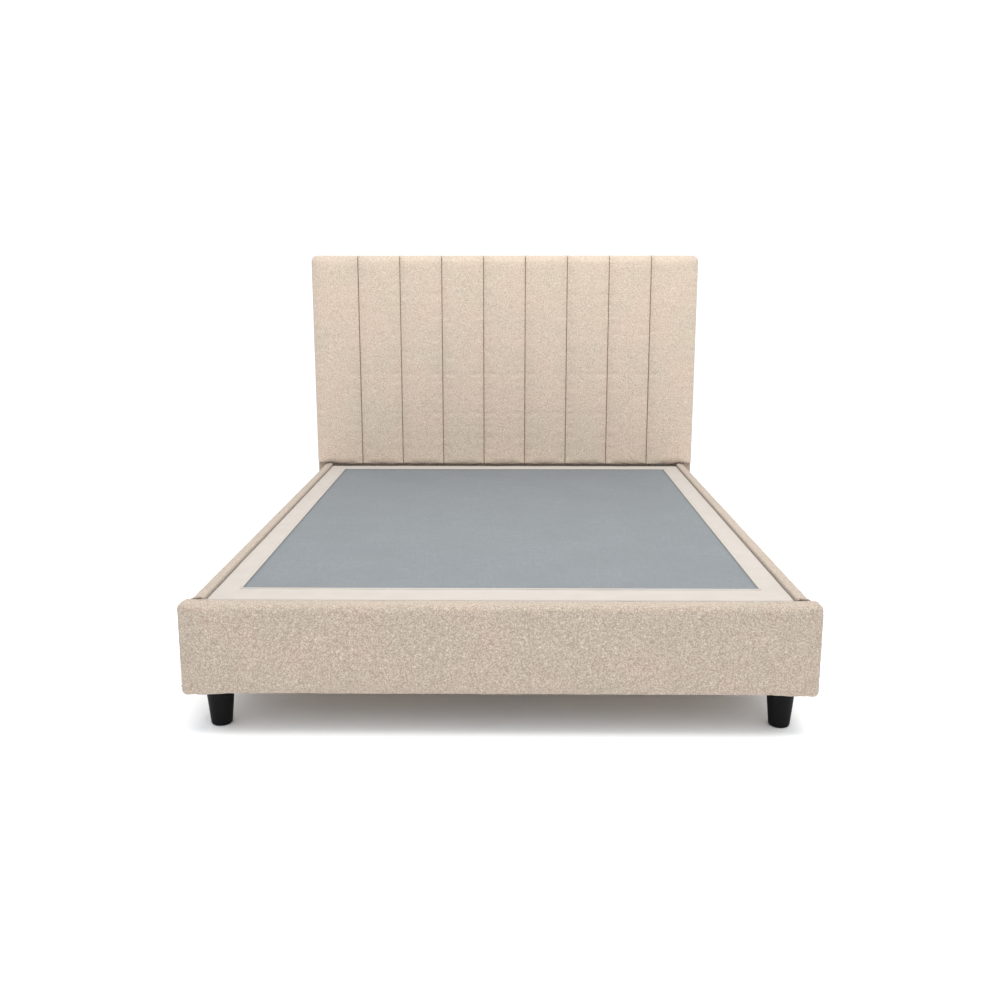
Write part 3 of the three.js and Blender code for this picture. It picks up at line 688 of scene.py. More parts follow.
def make_channels():
    """The channelled pad. Its front is swollen between the seams by simulation, and then it gets a
    wall and a back. A point may move the full swell once it is soft_width from its seam."""
    sizes = bpy.context.scene.bed_headboard
    _, high = box("headboard_channel_pad")
    front, near, inside = channel_pad()
    rows, columns = front.shape[:2]
    quads = grid_quads(rows, columns).tolist()
    skin = add_piece("channel_skin", front, quads, "frame", "channel_boucle")
    on_seam, soft_width, seam_shade_width = 1e-4, 0.02, 0.0032
    free = (near > on_seam) & (inside > sizes.corner_round * 0.2)
    reach = np.where(free, sizes.swell * np.clip(near / soft_width, 0.15, 1), 0)
    inflate(skin, reach.ravel(), slack=0.012)
    roughen(skin, amount=0.00045, wavelength=0.016, seed=11)
    swollen = coordinates(skin.data).reshape(front.shape)
    bpy.data.objects.remove(skin)
    points, quads = backed(swollen, high[1])
    quads = quads.tolist()
    pad = add_piece("headboard_channels", points, quads, "frame", "channel_boucle")
    recalculate(pad, merge=False)
    # The seam value marks where the finish paints shade in the seam grooves.
    closeness = np.exp(-((near.ravel() / seam_shade_width) ** 2))
    keep_value(pad, "seam", np.concatenate([closeness, np.zeros(len(closeness))]))
    refine(pad)
    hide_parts("headboard_channel_pad")


def stitch_shape(sides=6, rings=5):
    """One stitch along Z, from 0 to 1 long and 1 thick: its radius follows a flattened half circle."""
    along = np.linspace(0, 1, rings)
    radius = 0.5 * (1 - np.abs(2 * along - 1) ** 4 * 0.75)
    angle = np.linspace(0, 2 * math.pi, sides, endpoint=False)
    x = radius[:, None] * np.cos(angle)
    y = radius[:, None] * np.sin(angle)
    z = np.repeat(along[:, None], sides, axis=1)
    quads = grid_quads(rings, sides, columns_close=True).tolist()
    caps = [list(range(sides))[::-1], list(range((rings - 1) * sides, rings * sides))]
    return np.stack([x, y, z], axis=-1).reshape(-1, 3), quads + caps


def stitches(starts, ends, thickness):
    """Copies of the stitch, each carried from its start to its end."""
    shape, faces = stitch_shape()
    starts, ends = np.asarray(starts), np.asarray(ends)
    along = ends - starts
    length_of = np.linalg.norm(along, axis=1, keepdims=True)
    along_unit = along / length_of
    across = np.cross(along_unit, [0.0, 1.0, 0.0])
    across /= np.linalg.norm(across, axis=1, keepdims=True)
    off = np.cross(along_unit, across)
    points = (
        starts[:, None]
        + shape[None, :, 2:] * along[:, None]
        + shape[None, :, :1] * thickness * across[:, None]
        + shape[None, :, 1:2] * thickness * off[:, None]
    )
    shift = (np.arange(len(starts)) * len(shape))[:, None]
    all_faces = []
    for face in faces:
        all_faces += (np.array(face)[None] + shift).tolist()
    return points.reshape(-1, 3), all_faces


def make_stitching():
    """Rows of stitches: one up each seam, leaning to either side in turn, and one level row at the
    pad's foot."""
    sizes = bpy.context.scene.bed_headboard
    low, high = box("headboard_channel_pad")
    step = sizes.stitch + sizes.stitch_gap
    lowest, highest = low[2] + 0.012, high[2] - 0.010
    levels = np.arange(lowest, highest, step)
    x, z = np.meshgrid(seam_places(high[0]), levels)
    lean = 0.0009
    side = np.where(np.arange(len(levels)) % 2, 1, -1)[:, None] * lean
    y = np.full_like(x, low[1] + sizes.swell + sizes.seam_depth - sizes.thread * 0.2)
    starts = np.stack([x - side, y, z], axis=-1).reshape(-1, 3)
    ends = np.stack([x + side, y, z + sizes.stitch], axis=-1).reshape(-1, 3)
    points, faces = stitches(starts, ends, sizes.thread)
    add_piece("headboard_seam_stitches", points, faces, "frame", "seam_thread")
    margin, above_foot, behind_crown, climb = 0.03, 0.0035, 0.0055, 0.0006
    across = np.arange(low[0] + margin, high[0] - margin, step)
    level = low[2] + above_foot - foot_drop(across, above_foot)
    front = np.full(len(across), low[1] + sizes.swell + behind_crown)
    starts = np.stack([across, front, level], axis=-1)
    ends = starts + [sizes.stitch, 0, climb]
    points, faces = stitches(starts, ends, sizes.thread)
    add_piece("headboard_foot_stitches", points, faces, "frame", "seam_thread")


def make_headboard_wrap():
    """The cover's edge: an L-shaped section carried up one side, over the top and down the other.
    A point n inside the outline turns the corner on radius max(R - n, 0)."""
    sizes = bpy.context.scene.bed_headboard
    low, high = box("headboard_cover")
    _, pad_high = box("headboard_channel_pad")
    half, top, radius = high[0], high[2], sizes.corner_round
    back, thick, wrap = high[1], sizes.wrap_thickness, sizes.wrap
    start = pad_high[1] + SKIN
    fold, fine, coarse = 0.009, 0.006, 0.012
    lip, under = back - 0.0012, back - 0.0013
    section = np.concatenate(
        [
            line((0, start), (0, back - fold), fine),
            arc((fold, back - fold), fold, 180, 90, 6)[:-1],
            line((fold, back), (wrap, back), fine),
            [[wrap, back], [wrap, lip]],
            line((wrap, under), (thick, under), fine)[1:],
            line((thick, under), (thick, start), coarse),
            [[thick, start]],
        ]
    )
    inset, y = section[:, 0], section[:, 1]
    deep = np.maximum(inset, radius)
    turn = np.maximum(radius - inset, 0)
    rises = np.arange(low[2], top - radius, coarse)
    angles = np.radians(np.linspace(0, 90, 9))
    centre_x, centre_z = half - deep, top - deep
    side = np.stack(
        [np.tile(half - inset, (len(rises), 1)), np.repeat(rises[:, None], len(inset), axis=1)],
        axis=-1,
    )
    # The last level row stops where the section's own corner starts.
    side[..., 1] = np.minimum(side[..., 1], centre_z)
    corner = np.stack(
        [
            centre_x + turn * np.cos(angles)[:, None],
            centre_z + turn * np.sin(angles)[:, None],
        ],
        axis=-1,
    )
    across = np.arange(0, half - radius, coarse)[::-1]
    level = np.stack(
        [
            np.minimum(np.repeat(across[:, None], len(inset), axis=1), centre_x),
            np.tile(top - inset, (len(across), 1)),
        ],
        axis=-1,
    )
    right = np.concatenate([side, corner, level])
    left = right[::-1][1:] * [-1, 1]
    path = np.concatenate([right, left])
    points = np.stack([path[..., 0], np.broadcast_to(y, path.shape[:2]), path[..., 1]], axis=-1)
    rows, columns = points.shape[:2]
    faces = grid_quads(rows, columns, columns_close=True).tolist()
    faces += [list(range(columns))[::-1], list(range((rows - 1) * columns, rows * columns))]
    flat = points.reshape(-1, 3)
    wrapped = add_piece("headboard_wrap", flat, faces, "frame", "rail_boucle")
    recalculate(wrapped)
    places = coordinates(wrapped.data)
    outer = (np.abs(places[:, 0]) > half - thick / 3) | (places[:, 2] > top - thick / 3)
    middle = (places[:, 1] > start + 0.004) & (places[:, 1] < back - fold)
    roughen(wrapped, amount=0.0005, wavelength=0.02, seed=23, chosen=outer & middle)
    refine(wrapped)
    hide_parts("headboard_cover")


def recalculate(piece, merge=True):
    """Turns every face of a piece outwards, after its doubled points are merged."""
    shape = bmesh.new()
    shape.from_mesh(piece.data)
    if merge:
        bmesh.ops.remove_doubles(shape, verts=shape.verts, dist=SAME_PLACE)
    bmesh.ops.recalc_face_normals(shape, faces=shape.faces)
    shape.to_mesh(piece.data)
    shape.free()


def eased_places(start, end, edge, count):
    """Even places from start to end, closer together over the rounding of size edge at both."""
    easing = edge * (1 - np.cos(np.linspace(0, math.pi / 2, 5)))
    even = np.linspace(start + edge, end - edge, count)[1:-1]
    return np.concatenate([start + easing, even, (end - easing)[::-1]])


def make_apron():
    """The flat padded cover below the channels: a slab with eased edges. At distance d inside its
    outline its thickness is t * (least + (1 - least) * round(d)), with round(d) a quarter circle,
    and its top follows the pad's foot down."""
    low, high = box("headboard_cover")
    pad_low, _ = box("headboard_channel_pad")
    panel_low, _ = box("headboard_front_panel")
    front, back = low[1], panel_low[1] - SKIN
    half, bottom, top = high[0], low[2], pad_low[2] - SKIN
    edge, least = 0.004, 0.25
    x, z = np.meshgrid(eased_places(-half, half, edge, 150), eased_places(bottom, top, edge, 24))
    inside = np.minimum(np.minimum(half - np.abs(x), z - bottom), top - z)
    rounding = np.sqrt(np.clip(1 - (1 - np.clip(inside / edge, 0, 1)) ** 2, 0, 1))
    thickness = back - front
    y = back - thickness * (least + (1 - least) * rounding)
    z = z - foot_drop(x, top - z)
    points, quads = backed(np.stack([x, y, z], axis=-1), back)
    quads = quads.tolist()
    apron = add_piece("headboard_apron", points, quads, "frame", "rail_boucle")
    recalculate(apron)
    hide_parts("headboard_cover")


def make_back_cloth():
    """The stretched cloth behind the headboard, with a row of staples inside each edge. It stands
    y = back + off + ripple * (sin(2 pi x / wave) + sin(2 pi z / wave)) * exp(-d / fade), where d is
    the distance to the nearest of the top and the two sides, so it puckers where it is held there."""
    sizes = bpy.context.scene.bed_base
    low, high = box("headboard_back_cloth")
    columns, rows = 90, 64
    u, v = np.meshgrid(np.linspace(0, 1, columns), np.linspace(0, 1, rows))
    x = low[0] + (high[0] - low[0]) * u
    z = low[2] + (high[2] - low[2]) * v
    wave, fade, off, ripple = 0.12, 0.05, 0.0009, 0.0005
    edge_wave = np.sin(2 * math.pi * x / wave) + np.sin(2 * math.pi * z / wave)
    near_edge = np.exp(-np.minimum(np.minimum(x - low[0], high[0] - x), high[2] - z) / fade)
    y = high[1] + off + ripple * edge_wave * near_edge
    points = np.stack([x, y, z], axis=-1).reshape(-1, 3)
    quads = grid_quads(rows, columns)[:, ::-1].tolist()
    cloth = add_piece("headboard_back_sheet", points, quads, "frame", "dust_felt")
    thicken(cloth, sizes.back_cloth)
    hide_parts("headboard_back_cloth")
    inset, margin, spacing, crown, wire = 0.012, 0.03, 0.045, 0.010, 0.0011
    proud = high[1] + 0.0014
    along_x = np.arange(low[0] + margin, high[0] - margin, spacing)
    along_z = np.arange(low[2] + margin, high[2] - margin, spacing)
    centres = [[x0, z0] for z0 in (low[2] + inset, high[2] - inset) for x0 in along_x]
    starts = np.array([[x0 - crown / 2, proud, z0] for x0, z0 in centres])
    upright = [[x0, z0] for x0 in (low[0] + inset, high[0] - inset) for z0 in along_z]
    rising = np.array([[x0, proud, z0 - crown / 2] for x0, z0 in upright])
    starts_all = np.concatenate([starts, rising])
    askew = 1e-5
    ends_all = np.concatenate([starts + [crown, 0, askew], rising + [askew, 0, crown]])
    points, faces = stitches(starts_all, ends_all, wire)
    add_piece("headboard_back_staples", points, faces, "frame", "zinc_steel")


# ---- Footboard and side rails ----------------------------------------------------------------


def wrapped_section(thickness, height, rounds, window, step):
    """A board's wrapped section as (across, up) from the upper lip of its inner window, over the top,
    down the outside, under the bottom and up to the window's lower lip. Inner face at across = 0."""
    inner_top, outer_top, outer_low, inner_low = rounds
    lower, upper = window
    parts = [
        line((0, upper), (0, height - inner_top), step),
        arc((inner_top, height - inner_top), inner_top, 180, 90, 5)[:-1],
        line((inner_top, height), (thickness - outer_top, height), step),
        arc((thickness - outer_top, height - outer_top), outer_top, 90, 0, 8)[:-1],
        line((thickness, height - outer_top), (thickness, outer_low), step),
        arc((thickness - outer_low, outer_low), outer_low, 0, -90, 5)[:-1],
        line((thickness - outer_low, 0), (inner_low, 0), step),
        arc((inner_low, inner_low), inner_low, -90, -180, 5)[:-1],
        line((0, inner_low), (0, lower), step),
        [[0, lower]],
    ]
    return np.concatenate(parts)


def outline_normals(section):
    """Unit normals of a section, pointing away from its middle."""
    along = np.gradient(section, axis=0)
    normal = np.stack([-along[:, 1], along[:, 0]], axis=1)
    normal /= np.linalg.norm(normal, axis=1)[:, None]
    middle = section.mean(axis=0)
    facing = np.einsum("ij,ij->i", section - middle, normal).mean()
    return normal if facing > 0 else -normal


def make_rail_covers():
    """Each rail's cover: the wrapped section carried along the rail, swollen, then given its wall."""
    sizes = bpy.context.scene.bed_base
    for name, side in SIDES.items():
        low, high = box(f"side_rail_cover_{name}")
        thickness, height = high[0] - low[0], high[2] - low[2]
        section = wrapped_section(
            thickness,
            height,
            (sizes.inner_round, sizes.rail_round, sizes.low_round, sizes.inner_round / 2),
            (sizes.lower_return, height - sizes.upper_return),
            0.011,
        )
        free = (section[:, 0] > thickness * 0.25).astype(float)
        reach_here = sizes.swell * free * np.clip(section[:, 0] / thickness, 0, 1)
        section = section - outline_normals(section) * reach_here[:, None]
        stations = np.linspace(low[1], high[1], 190)
        rows, columns = len(stations), len(section)
        across = (high[0] if side < 0 else low[0]) + side * section[:, 0]
        points = np.stack(
            np.broadcast_arrays(across[None], stations[:, None], low[2] + section[None, :, 1]),
            axis=-1,
        ).reshape(-1, 3)
        quads = outward(points, grid_quads(rows, columns)).tolist()
        piece_name = f"side_rail_padding_{name}"
        cover = add_piece(piece_name, points, quads, "frame", "rail_boucle")
        reach = np.tile(reach_here, (rows, 1))
        reach[[0, -1]] = 0
        inflate(cover, reach.ravel(), slack=0.01)
        chosen = np.tile(free > 0, rows)
        roughen(cover, amount=0.0007, wavelength=0.020, seed=34 + 3 * side, chosen=chosen)
        refine(cover)
        thicken(cover, sizes.skin)
        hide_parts(f"side_rail_cover_{name}")


def used_only(points, quads, *values):
    """The points that some face uses, the faces renumbered to them, and the values that go with them."""
    used, numbers = np.unique(quads, return_inverse=True)
    return (points[used], numbers.reshape(quads.shape), *(value[used] for value in values))


def footboard_stations(half, window_half):
    """Places along the footboard, closer together at the window's ends, the creases and the rounding."""
    sizes = bpy.context.scene.bed_base
    crease = half - sizes.crease
    end = sizes.end_round
    easing = np.sin(np.linspace(0, math.pi / 2, 8))
    right = np.concatenate(
        [
            np.linspace(0, window_half, 84)[1:],
            [(window_half + crease) / 2, crease - 0.007, crease, crease + 0.007],
            half - end + end * easing,
        ]
    )
    return np.concatenate([-right[::-1], [0], right])


def make_footboard_cover():
    """The footboard's cover: its wrapped section carried along the board. Round each end it is drawn
    towards a line up the middle of the board by the share (e - sqrt(e^2 - s^2)) / half thickness,
    where s is how far the section is into the end's rounding e. Rings of a growing share then close
    each flat end, and the window on the inner face is left out."""
    sizes = bpy.context.scene.bed_base
    low, high = box("footboard_cover")
    rail_low, _ = box("side_rail_cover_right")
    thickness, height, half = high[1] - low[1], high[2] - low[2], high[0] + sizes.end_swell
    window = (sizes.lower_return, height - sizes.upper_return)
    wrapped = wrapped_section(
        thickness,
        height,
        (sizes.foot_inner_round, sizes.foot_round, sizes.low_round, sizes.low_round),
        window,
        0.010,
    )
    between = line((0, window[0]), (0, window[1]), 0.010)[1:]
    section = np.concatenate([wrapped, between])
    crease_width, crease_depth = 0.007, 0.0012
    outside = (section[:, 0] > thickness * 0.3) | (section[:, 1] > height - sizes.foot_round)
    swell = sizes.swell * outside
    window_half = rail_low[0] + sizes.board_cover
    stations = footboard_stations(half, window_half)
    end = sizes.end_round
    into_end = np.clip(np.abs(stations) - (half - end), 0, end)
    drawn = end - np.sqrt(end**2 - into_end**2)
    past_crease = np.abs(stations) - half + sizes.crease
    near_crease = np.exp(-((past_crease / crease_width) ** 2))
    loop = np.concatenate([section[-1:], section, section[:1]])
    normal = outline_normals(loop)[1:-1]
    inset = swell[None] + crease_depth * near_crease[:, None] * outside[None]
    shaped = section[None] - normal[None] * inset[..., None]
    # The middle line runs up the board, and the ends are drawn towards it.
    middle = thickness / 2
    up = np.clip(section[:, 1], middle * 0.6, height - middle)
    spine = np.stack([np.full(len(section), middle), up], axis=-1)
    at_end = end / middle
    caps = at_end + (1 - at_end) * np.array([0.15, 0.35, 0.6])
    shares = np.concatenate([caps[::-1], drawn / middle, caps])[:, None, None]
    shaped = np.pad(shaped, ((len(caps), len(caps)), (0, 0), (0, 0)), mode="edge")
    shaped = shaped + (spine - shaped) * shares
    ends = np.full(len(caps), half)
    places = np.concatenate([-ends, stations, ends])
    rows, columns = shaped.shape[:2]
    points = np.stack(
        [
            np.broadcast_to(places[:, None], (rows, columns)),
            high[1] - shaped[..., 0],
            low[2] + shaped[..., 1],
        ],
        axis=-1,
    ).reshape(-1, 3)
    number = np.arange(rows * columns).reshape(rows, columns)
    quads = grid_quads(rows, columns, columns_close=True).reshape(rows - 1, columns, 4)
    row_open = np.abs((places[:-1] + places[1:]) / 2) < window_half
    column_open = np.arange(columns) >= len(wrapped) - 1
    kept = ~(row_open[:, None] & column_open[None])
    quads = outward(points, quads[kept])
    reach = np.broadcast_to(swell, (len(stations), columns)) * (1 - near_crease[:, None])
    reach = reach * np.clip(1 - 2 * drawn / end, 0, 1)[:, None]
    reach = np.pad(reach, ((len(caps), len(caps)), (0, 0)))
    soft = np.tile(outside, rows)
    points, quads, reach, soft, number = used_only(
        points, quads, reach.ravel(), soft, number.ravel()
    )
    ring_ends = [np.nonzero(number < columns)[0], np.nonzero(number >= (rows - 1) * columns)[0]]
    faces = quads.tolist() + [ring.tolist() for ring in ring_ends]
    cover = add_piece("footboard_padding", points, faces, "frame", "rail_boucle")
    recalculate(cover, merge=False)
    inflate(cover, reach, slack=0.012)
    roughen(cover, amount=0.0009, wavelength=0.018, seed=41, chosen=soft)
    refine(cover)
    thicken(cover, sizes.skin)
    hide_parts("footboard_cover")


# ---- Foundation ------------------------------------------------------------------------------


def ring_path(half_x, y_low, y_high, radius, count_x, count_y, corner_count=5):
    """Points round a rectangle with rounded corners, the same number for every size."""
    right, front, rear = half_x - radius, y_low + radius, y_high - radius
    centre = np.array([[right, front], [right, rear], [-right, rear], [-right, front]])
    parts = []
    for corner, count in enumerate((count_y, count_x, count_y, count_x)):
        start = 90 * (corner - 1)
        turn = arc(centre[corner], radius, start, start + 90, corner_count)
        following = arc(centre[(corner + 1) % 4], radius, start + 90, start + 180, corner_count)
        gap = following[0] - turn[-1]
        straight = turn[-1] + gap * (np.arange(1, count) / count)[:, None]
        parts += [turn, straight]
    return np.concatenate(parts)


def make_border():
    """The foundation's plain cover: from the deck cloth's edge, where it is held down by tuck, it
    rises, crosses the border, turns down over a quarter circle and hangs as a skirt. Each row of
    points is a rounded rectangle. The flat of it has a slight ripple."""
    sizes = bpy.context.scene.bed_base
    low, high = box("foundation_cover")
    cloth_low, cloth_high = box("foundation_deck_cloth")
    half, top, bottom = high[0], high[2], low[2]
    radius = sizes.border_round
    counts = (84, 108)
    tuck, ripple_height, ripple_crest = 0.0022, 0.0006, 0.0004
    inner_half, inner_low, inner_high = cloth_high[0], cloth_low[1], cloth_high[1]
    flat_half, flat_low, flat_high = half - radius, low[1] + radius, high[1] - radius
    rings = []
    for share in np.concatenate([[0.0, 0.03, 0.08], np.linspace(0.16, 1, 9)]):
        path = ring_path(
            inner_half + (flat_half - inner_half) * share,
            inner_low + (flat_low - inner_low) * share,
            inner_high + (flat_high - inner_high) * share,
            sizes.border_corner,
            *counts,
        )
        rise = tuck * (1 - math.exp(-share / 0.05)) - tuck
        rings.append(np.column_stack([path, np.full(len(path), top + rise)]))
    turning = np.radians(np.linspace(0, 90, 6)[1:])
    skirt = np.linspace(top - radius, bottom, 12)[1:]
    edges = [(radius * math.sin(a), top - radius * (1 - math.cos(a))) for a in turning]
    edges += [(radius, level) for level in skirt]
    for out, level in edges:
        path = ring_path(
            flat_half + out, flat_low - out, flat_high + out, sizes.border_corner, *counts
        )
        rings.append(np.column_stack([path, np.full(len(path), level)]))
    rings = np.array(rings)
    rows, columns = rings.shape[:2]
    points = rings.reshape(-1, 3)
    quads = grid_quads(rows, columns, columns_close=True)
    corners = points[quads]
    normal = np.cross(corners[:, 2] - corners[:, 0], corners[:, 3] - corners[:, 1])
    if normal[:, 2].sum() < 0:
        quads = quads[:, ::-1]
    quads = quads.tolist()
    border = add_piece(
        "foundation_border", points, quads, "foundation", "border_cloth"
    )
    on_top = rings[..., 2] > top - radius * 0.5
    ripple = ripple_height * uneven(points, 0.09, seed=53).reshape(rows, columns) * on_top
    settled = rings.copy()
    settled[..., 2] += np.minimum(ripple, ripple_crest)
    border.data.vertices.foreach_set("co", settled.ravel())
    refine(border)
    thicken(border, sizes.border_cloth)
    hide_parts("foundation_cover")


def make_deck_cloth():
    """The deck's panel: a flat sheet with a very slight swell, z = top - sunk + rise * uneven * held,
    where held goes from 0 at its edges to 1 inside, and piping laid round it."""
    sizes = bpy.context.scene.bed_base
    low, high = box("foundation_deck_cloth")
    columns, rows = 90, 120
    u, v = np.meshgrid(np.linspace(0, 1, columns), np.linspace(0, 1, rows))
    x = low[0] + (high[0] - low[0]) * u
    y = low[1] + (high[1] - low[1]) * v
    inside = np.minimum(np.minimum(x - low[0], high[0] - x), np.minimum(y - low[1], high[1] - y))
    fade, rise, sunk = 0.06, 0.0007, 0.0018
    held = 1 - np.exp(-inside / fade)
    flat = np.stack([x, y, np.zeros_like(x)], axis=-1).reshape(-1, 3)
    swell = uneven(flat, 0.30, seed=61).reshape(x.shape) * rise
    z = high[2] - sunk + swell * held
    points = np.stack([x, y, z], axis=-1).reshape(-1, 3)
    quads = grid_quads(rows, columns).tolist()
    cloth = add_piece(
        "foundation_deck_sheet", points, quads, "foundation", "deck_felt"
    )
    thicken(cloth, sizes.deck_cloth)
    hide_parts("foundation_deck_cloth")
    path = ring_path(high[0], low[1], high[1], 0.006, 150, 190)
    level = np.full(len(path), high[2] - sizes.piping * 0.35)
    sides = 10
    points = ring_tube(np.column_stack([path, level]), sizes.piping, sides).reshape(-1, 3)
    quads = grid_quads(len(path), sides, rows_close=True, columns_close=True).tolist()
    piping = add_piece(
        "foundation_piping", points, quads, "foundation", "piping_cloth"
    )
    recalculate(piping)


# ---- Legs ------------------------------------------------------------------------------------


def add_turned(name, node, profile, body, finish):
    """A turned piece on the axis of its CAD node."""
    low, high = box(node)
    centre = np.array([(low[0] + high[0]) / 2, (low[1] + high[1]) / 2, 0])
    shape = turned(profile) + centre
    rows, columns = shape.shape[:2]
    points = shape.reshape(-1, 3)
    quads = outward(points, grid_quads(rows, columns, columns_close=True)).tolist()
    quads += [list(range(columns))[::-1], list(range((rows - 1) * columns, rows * columns))]
    piece = add_piece(name, points, quads, body, finish)
    recalculate(piece)
    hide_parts(node)


def make_legs():
    """The four legs: straight tapers with a rounded foot and a small shoulder under the block."""
    for corner in CORNERS:
        node = f"leg_{corner}"
        low, high = box(node)
        shoulder_level = box(f"corner_block_{corner}")[0][2] - SKIN
        top_radius = (high[0] - low[0]) / 2
        foot_radius = top_radius * 0.75
        foot_round, shoulder_round, neck = 0.007, 0.003, 0.004
        taper = top_radius - foot_radius
        rise = shoulder_level - neck - foot_round
        side = [[foot_radius + taper * t, foot_round + rise * t] for t in (0.1, 0.35, 0.65, 0.97)]
        shoulder = (top_radius - shoulder_round, shoulder_level - shoulder_round)
        profile = np.concatenate(
            [
                [[foot_radius * 0.5, 0]],
                arc((foot_radius - foot_round, foot_round), foot_round, -90, -6, 8),
                side,
                arc(shoulder, shoulder_round, 0, 90, 5),
                [[0.004, shoulder_level]],
            ]
        )
        add_turned(f"turned_{node}", node, profile, "frame", "leg_plastic")


def make_centre_supports():
    """The centre legs, eased at both rims and bored from below, and the glides that screw up
    into them."""
    for number in (1, 2):
        leg = f"centre_leg_{number}"
        low, high = box(leg)
        radius = (high[0] - low[0]) / 2
        bore, ease = 0.0053, 0.0025
        profile = np.concatenate(
            [
                [[bore, low[2] + 0.08], [bore, low[2]]],
                [[radius - ease, low[2]]],
                arc((radius - ease, low[2] + ease), ease, -80, 0, 5),
                [[radius, high[2] - ease]],
                arc((radius - ease, high[2] - ease), ease, 10, 90, 5),
                [[0.002, high[2]]],
            ]
        )
        add_turned(f"turned_{leg}", leg, profile, "frame", "leg_plastic")
        glide = f"centre_glide_{number}"
        low, high = box(glide)
        radius, pad, stem = (high[0] - low[0]) / 2, 0.008, 0.005
        profile = np.concatenate(
            [
                [[0.002, 0], [radius - 0.003, 0]],
                arc((radius - 0.003, 0.003), 0.003, -80, 0, 5),
                arc((radius - 0.002, pad - 0.002), 0.002, 10, 90, 4),
                [[stem, pad], [stem, high[2] - 0.001], [stem - 0.001, high[2]], [0.001, high[2]]],
            ]
        )
        body = f"glide_{number}"
        add_turned(f"turned_{glide}", glide, profile, body, "glide_plastic")


# ---- Timbers and metals ----------------------------------------------------------------------


def carcass_finish(node):
    """The finish of a CAD node, from its name and, for a board, the way that it runs."""
    if "bracket" in node or "_bolt_" in node:
        return "zinc_steel"
    if "beam" in node:
        return "black_steel"
    if node == "headboard_front_panel":
        return "plywood_upright"
    if node == "foundation_deck_board":
        return "plywood_level"
    low, high = box(node)
    return "pine_along_" + "xyz"[int(np.argmax(high - low))]


def finish_carcass():
    for name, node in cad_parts.items():
        if node.hide_render:
            continue
        finish = finish_of(carcass_finish(name))
        if not node.material_slots:
            node.data.materials.append(finish)
        for slot in node.material_slots:
            slot.material = finish


# ---- Stage -----------------------------------------------------------------------------------


def area_light(name, place, aim, size, power, tone):
    light = bpy.data.lights.new(name, "AREA")
    light.shape = "RECTANGLE"
    light.size, light.size_y = size
    light.energy = power
    light.color = tone
    lamp = bpy.data.objects.new(name, light)
    bpy.context.collection.objects.link(lamp)
    lamp.location = place
    towards = np.array(aim) - np.array(place)
    tilt = math.atan2(math.hypot(towards[0], towards[1]), -towards[2])
    turn = math.atan2(towards[1], towards[0]) - math.pi / 2
    lamp.rotation_euler = (tilt, 0, turn)


def make_stage():
    """A pale floor, even light from all round, a wide soft light overhead and a low one in front,
    and the camera."""
    stage = bpy.context.scene.bed_stage
    colours = bpy.context.scene.bed_colours
    finish = Finish("pale_floor", 0.8, Specular_IOR_Level=0.0)
    grain = finish.noise(0.02, detail=3)
    tone = finish.blend(grain, paint(colours.floor, 0.995), paint(colours.floor))
    finish.done(tone)
    half_floor, across = 9, 13
    reach = np.linspace(-half_floor, half_floor, across)
    x, y = np.meshgrid(reach, reach)
    points = np.stack([x, y, np.zeros_like(x)], axis=-1).reshape(-1, 3)
    mesh = bpy.data.meshes.new("floor")
    mesh.from_pydata(points.tolist(), [], grid_quads(across, across).tolist())
    mesh.materials.append(finish.material)
    floor = bpy.data.objects.new("floor", mesh)
    bpy.context.collection.objects.link(floor)

    world = bpy.data.worlds.new("even_light")
    world.use_nodes = True
    sky = world.node_tree.nodes["Background"]
    sky.inputs["Color"].default_value = (0.955, 0.98, 1, 1)
    sky.inputs["Strength"].default_value = stage.sky
    bpy.context.scene.world = world
    warm, cool = (1.0, 0.985, 0.96), (0.86, 0.93, 1.0)
    area_light("overhead", (0.3, -0.8, 3.3), (0, 0.8, 0.4), (3.2, 2.6), stage.key, warm)
    area_light("low_front", (0, -4.4, 0.9), (0, -1.1, 0), (5.0, 1.0), stage.fill, cool)

    scene = bpy.context.scene
    scene.view_settings.view_transform = "Standard"
    scene.view_settings.look = "None"
    lens = bpy.data.cameras.new("camera")
    lens.lens = stage.lens
    lens.sensor_width = 36
    camera = bpy.data.objects.new("camera", lens)
    bpy.context.collection.objects.link(camera)
    inner_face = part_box("footboard_cover")[1].y
    camera.location = (stage.aside, inner_face - stage.distance, stage.height)
    camera.rotation_euler = (math.pi / 2 - stage.tilt, 0, stage.turn)
    scene.camera = camera


# ---- Operators and panel ---------------------------------------------------------------------


class BED_OT_stage(bpy.types.Operator):
    """Make the floor, the lights and the camera"""

    bl_idname = "bed.stage"
    bl_label = "Stage"
    bl_options = {"REGISTER", "UNDO"}

    def execute(self, context):
        make_stage()
        return {"FINISHED"}


class BED_OT_channels(bpy.types.Operator):
    """Make the channelled pad"""

    bl_idname = "bed.channels"
    bl_label = "Headboard channels"
    bl_options = {"REGISTER", "UNDO"}

    def execute(self, context):
        make_channels()
        return {"FINISHED"}


class BED_OT_stitching(bpy.types.Operator):
    """Make the stitches along the seams and the pad's foot"""

    bl_idname = "bed.stitching"
    bl_label = "Stitching"
    bl_options = {"REGISTER", "UNDO"}

    def execute(self, context):
        make_stitching()
        return {"FINISHED"}


class BED_OT_headboard_cover(bpy.types.Operator):
    """Make the headboard's edge wrap and apron"""

    bl_idname = "bed.headboard_cover"
    bl_label = "Headboard cover"
    bl_options = {"REGISTER", "UNDO"}

    def execute(self, context):
        make_headboard_wrap()
        make_apron()
        return {"FINISHED"}


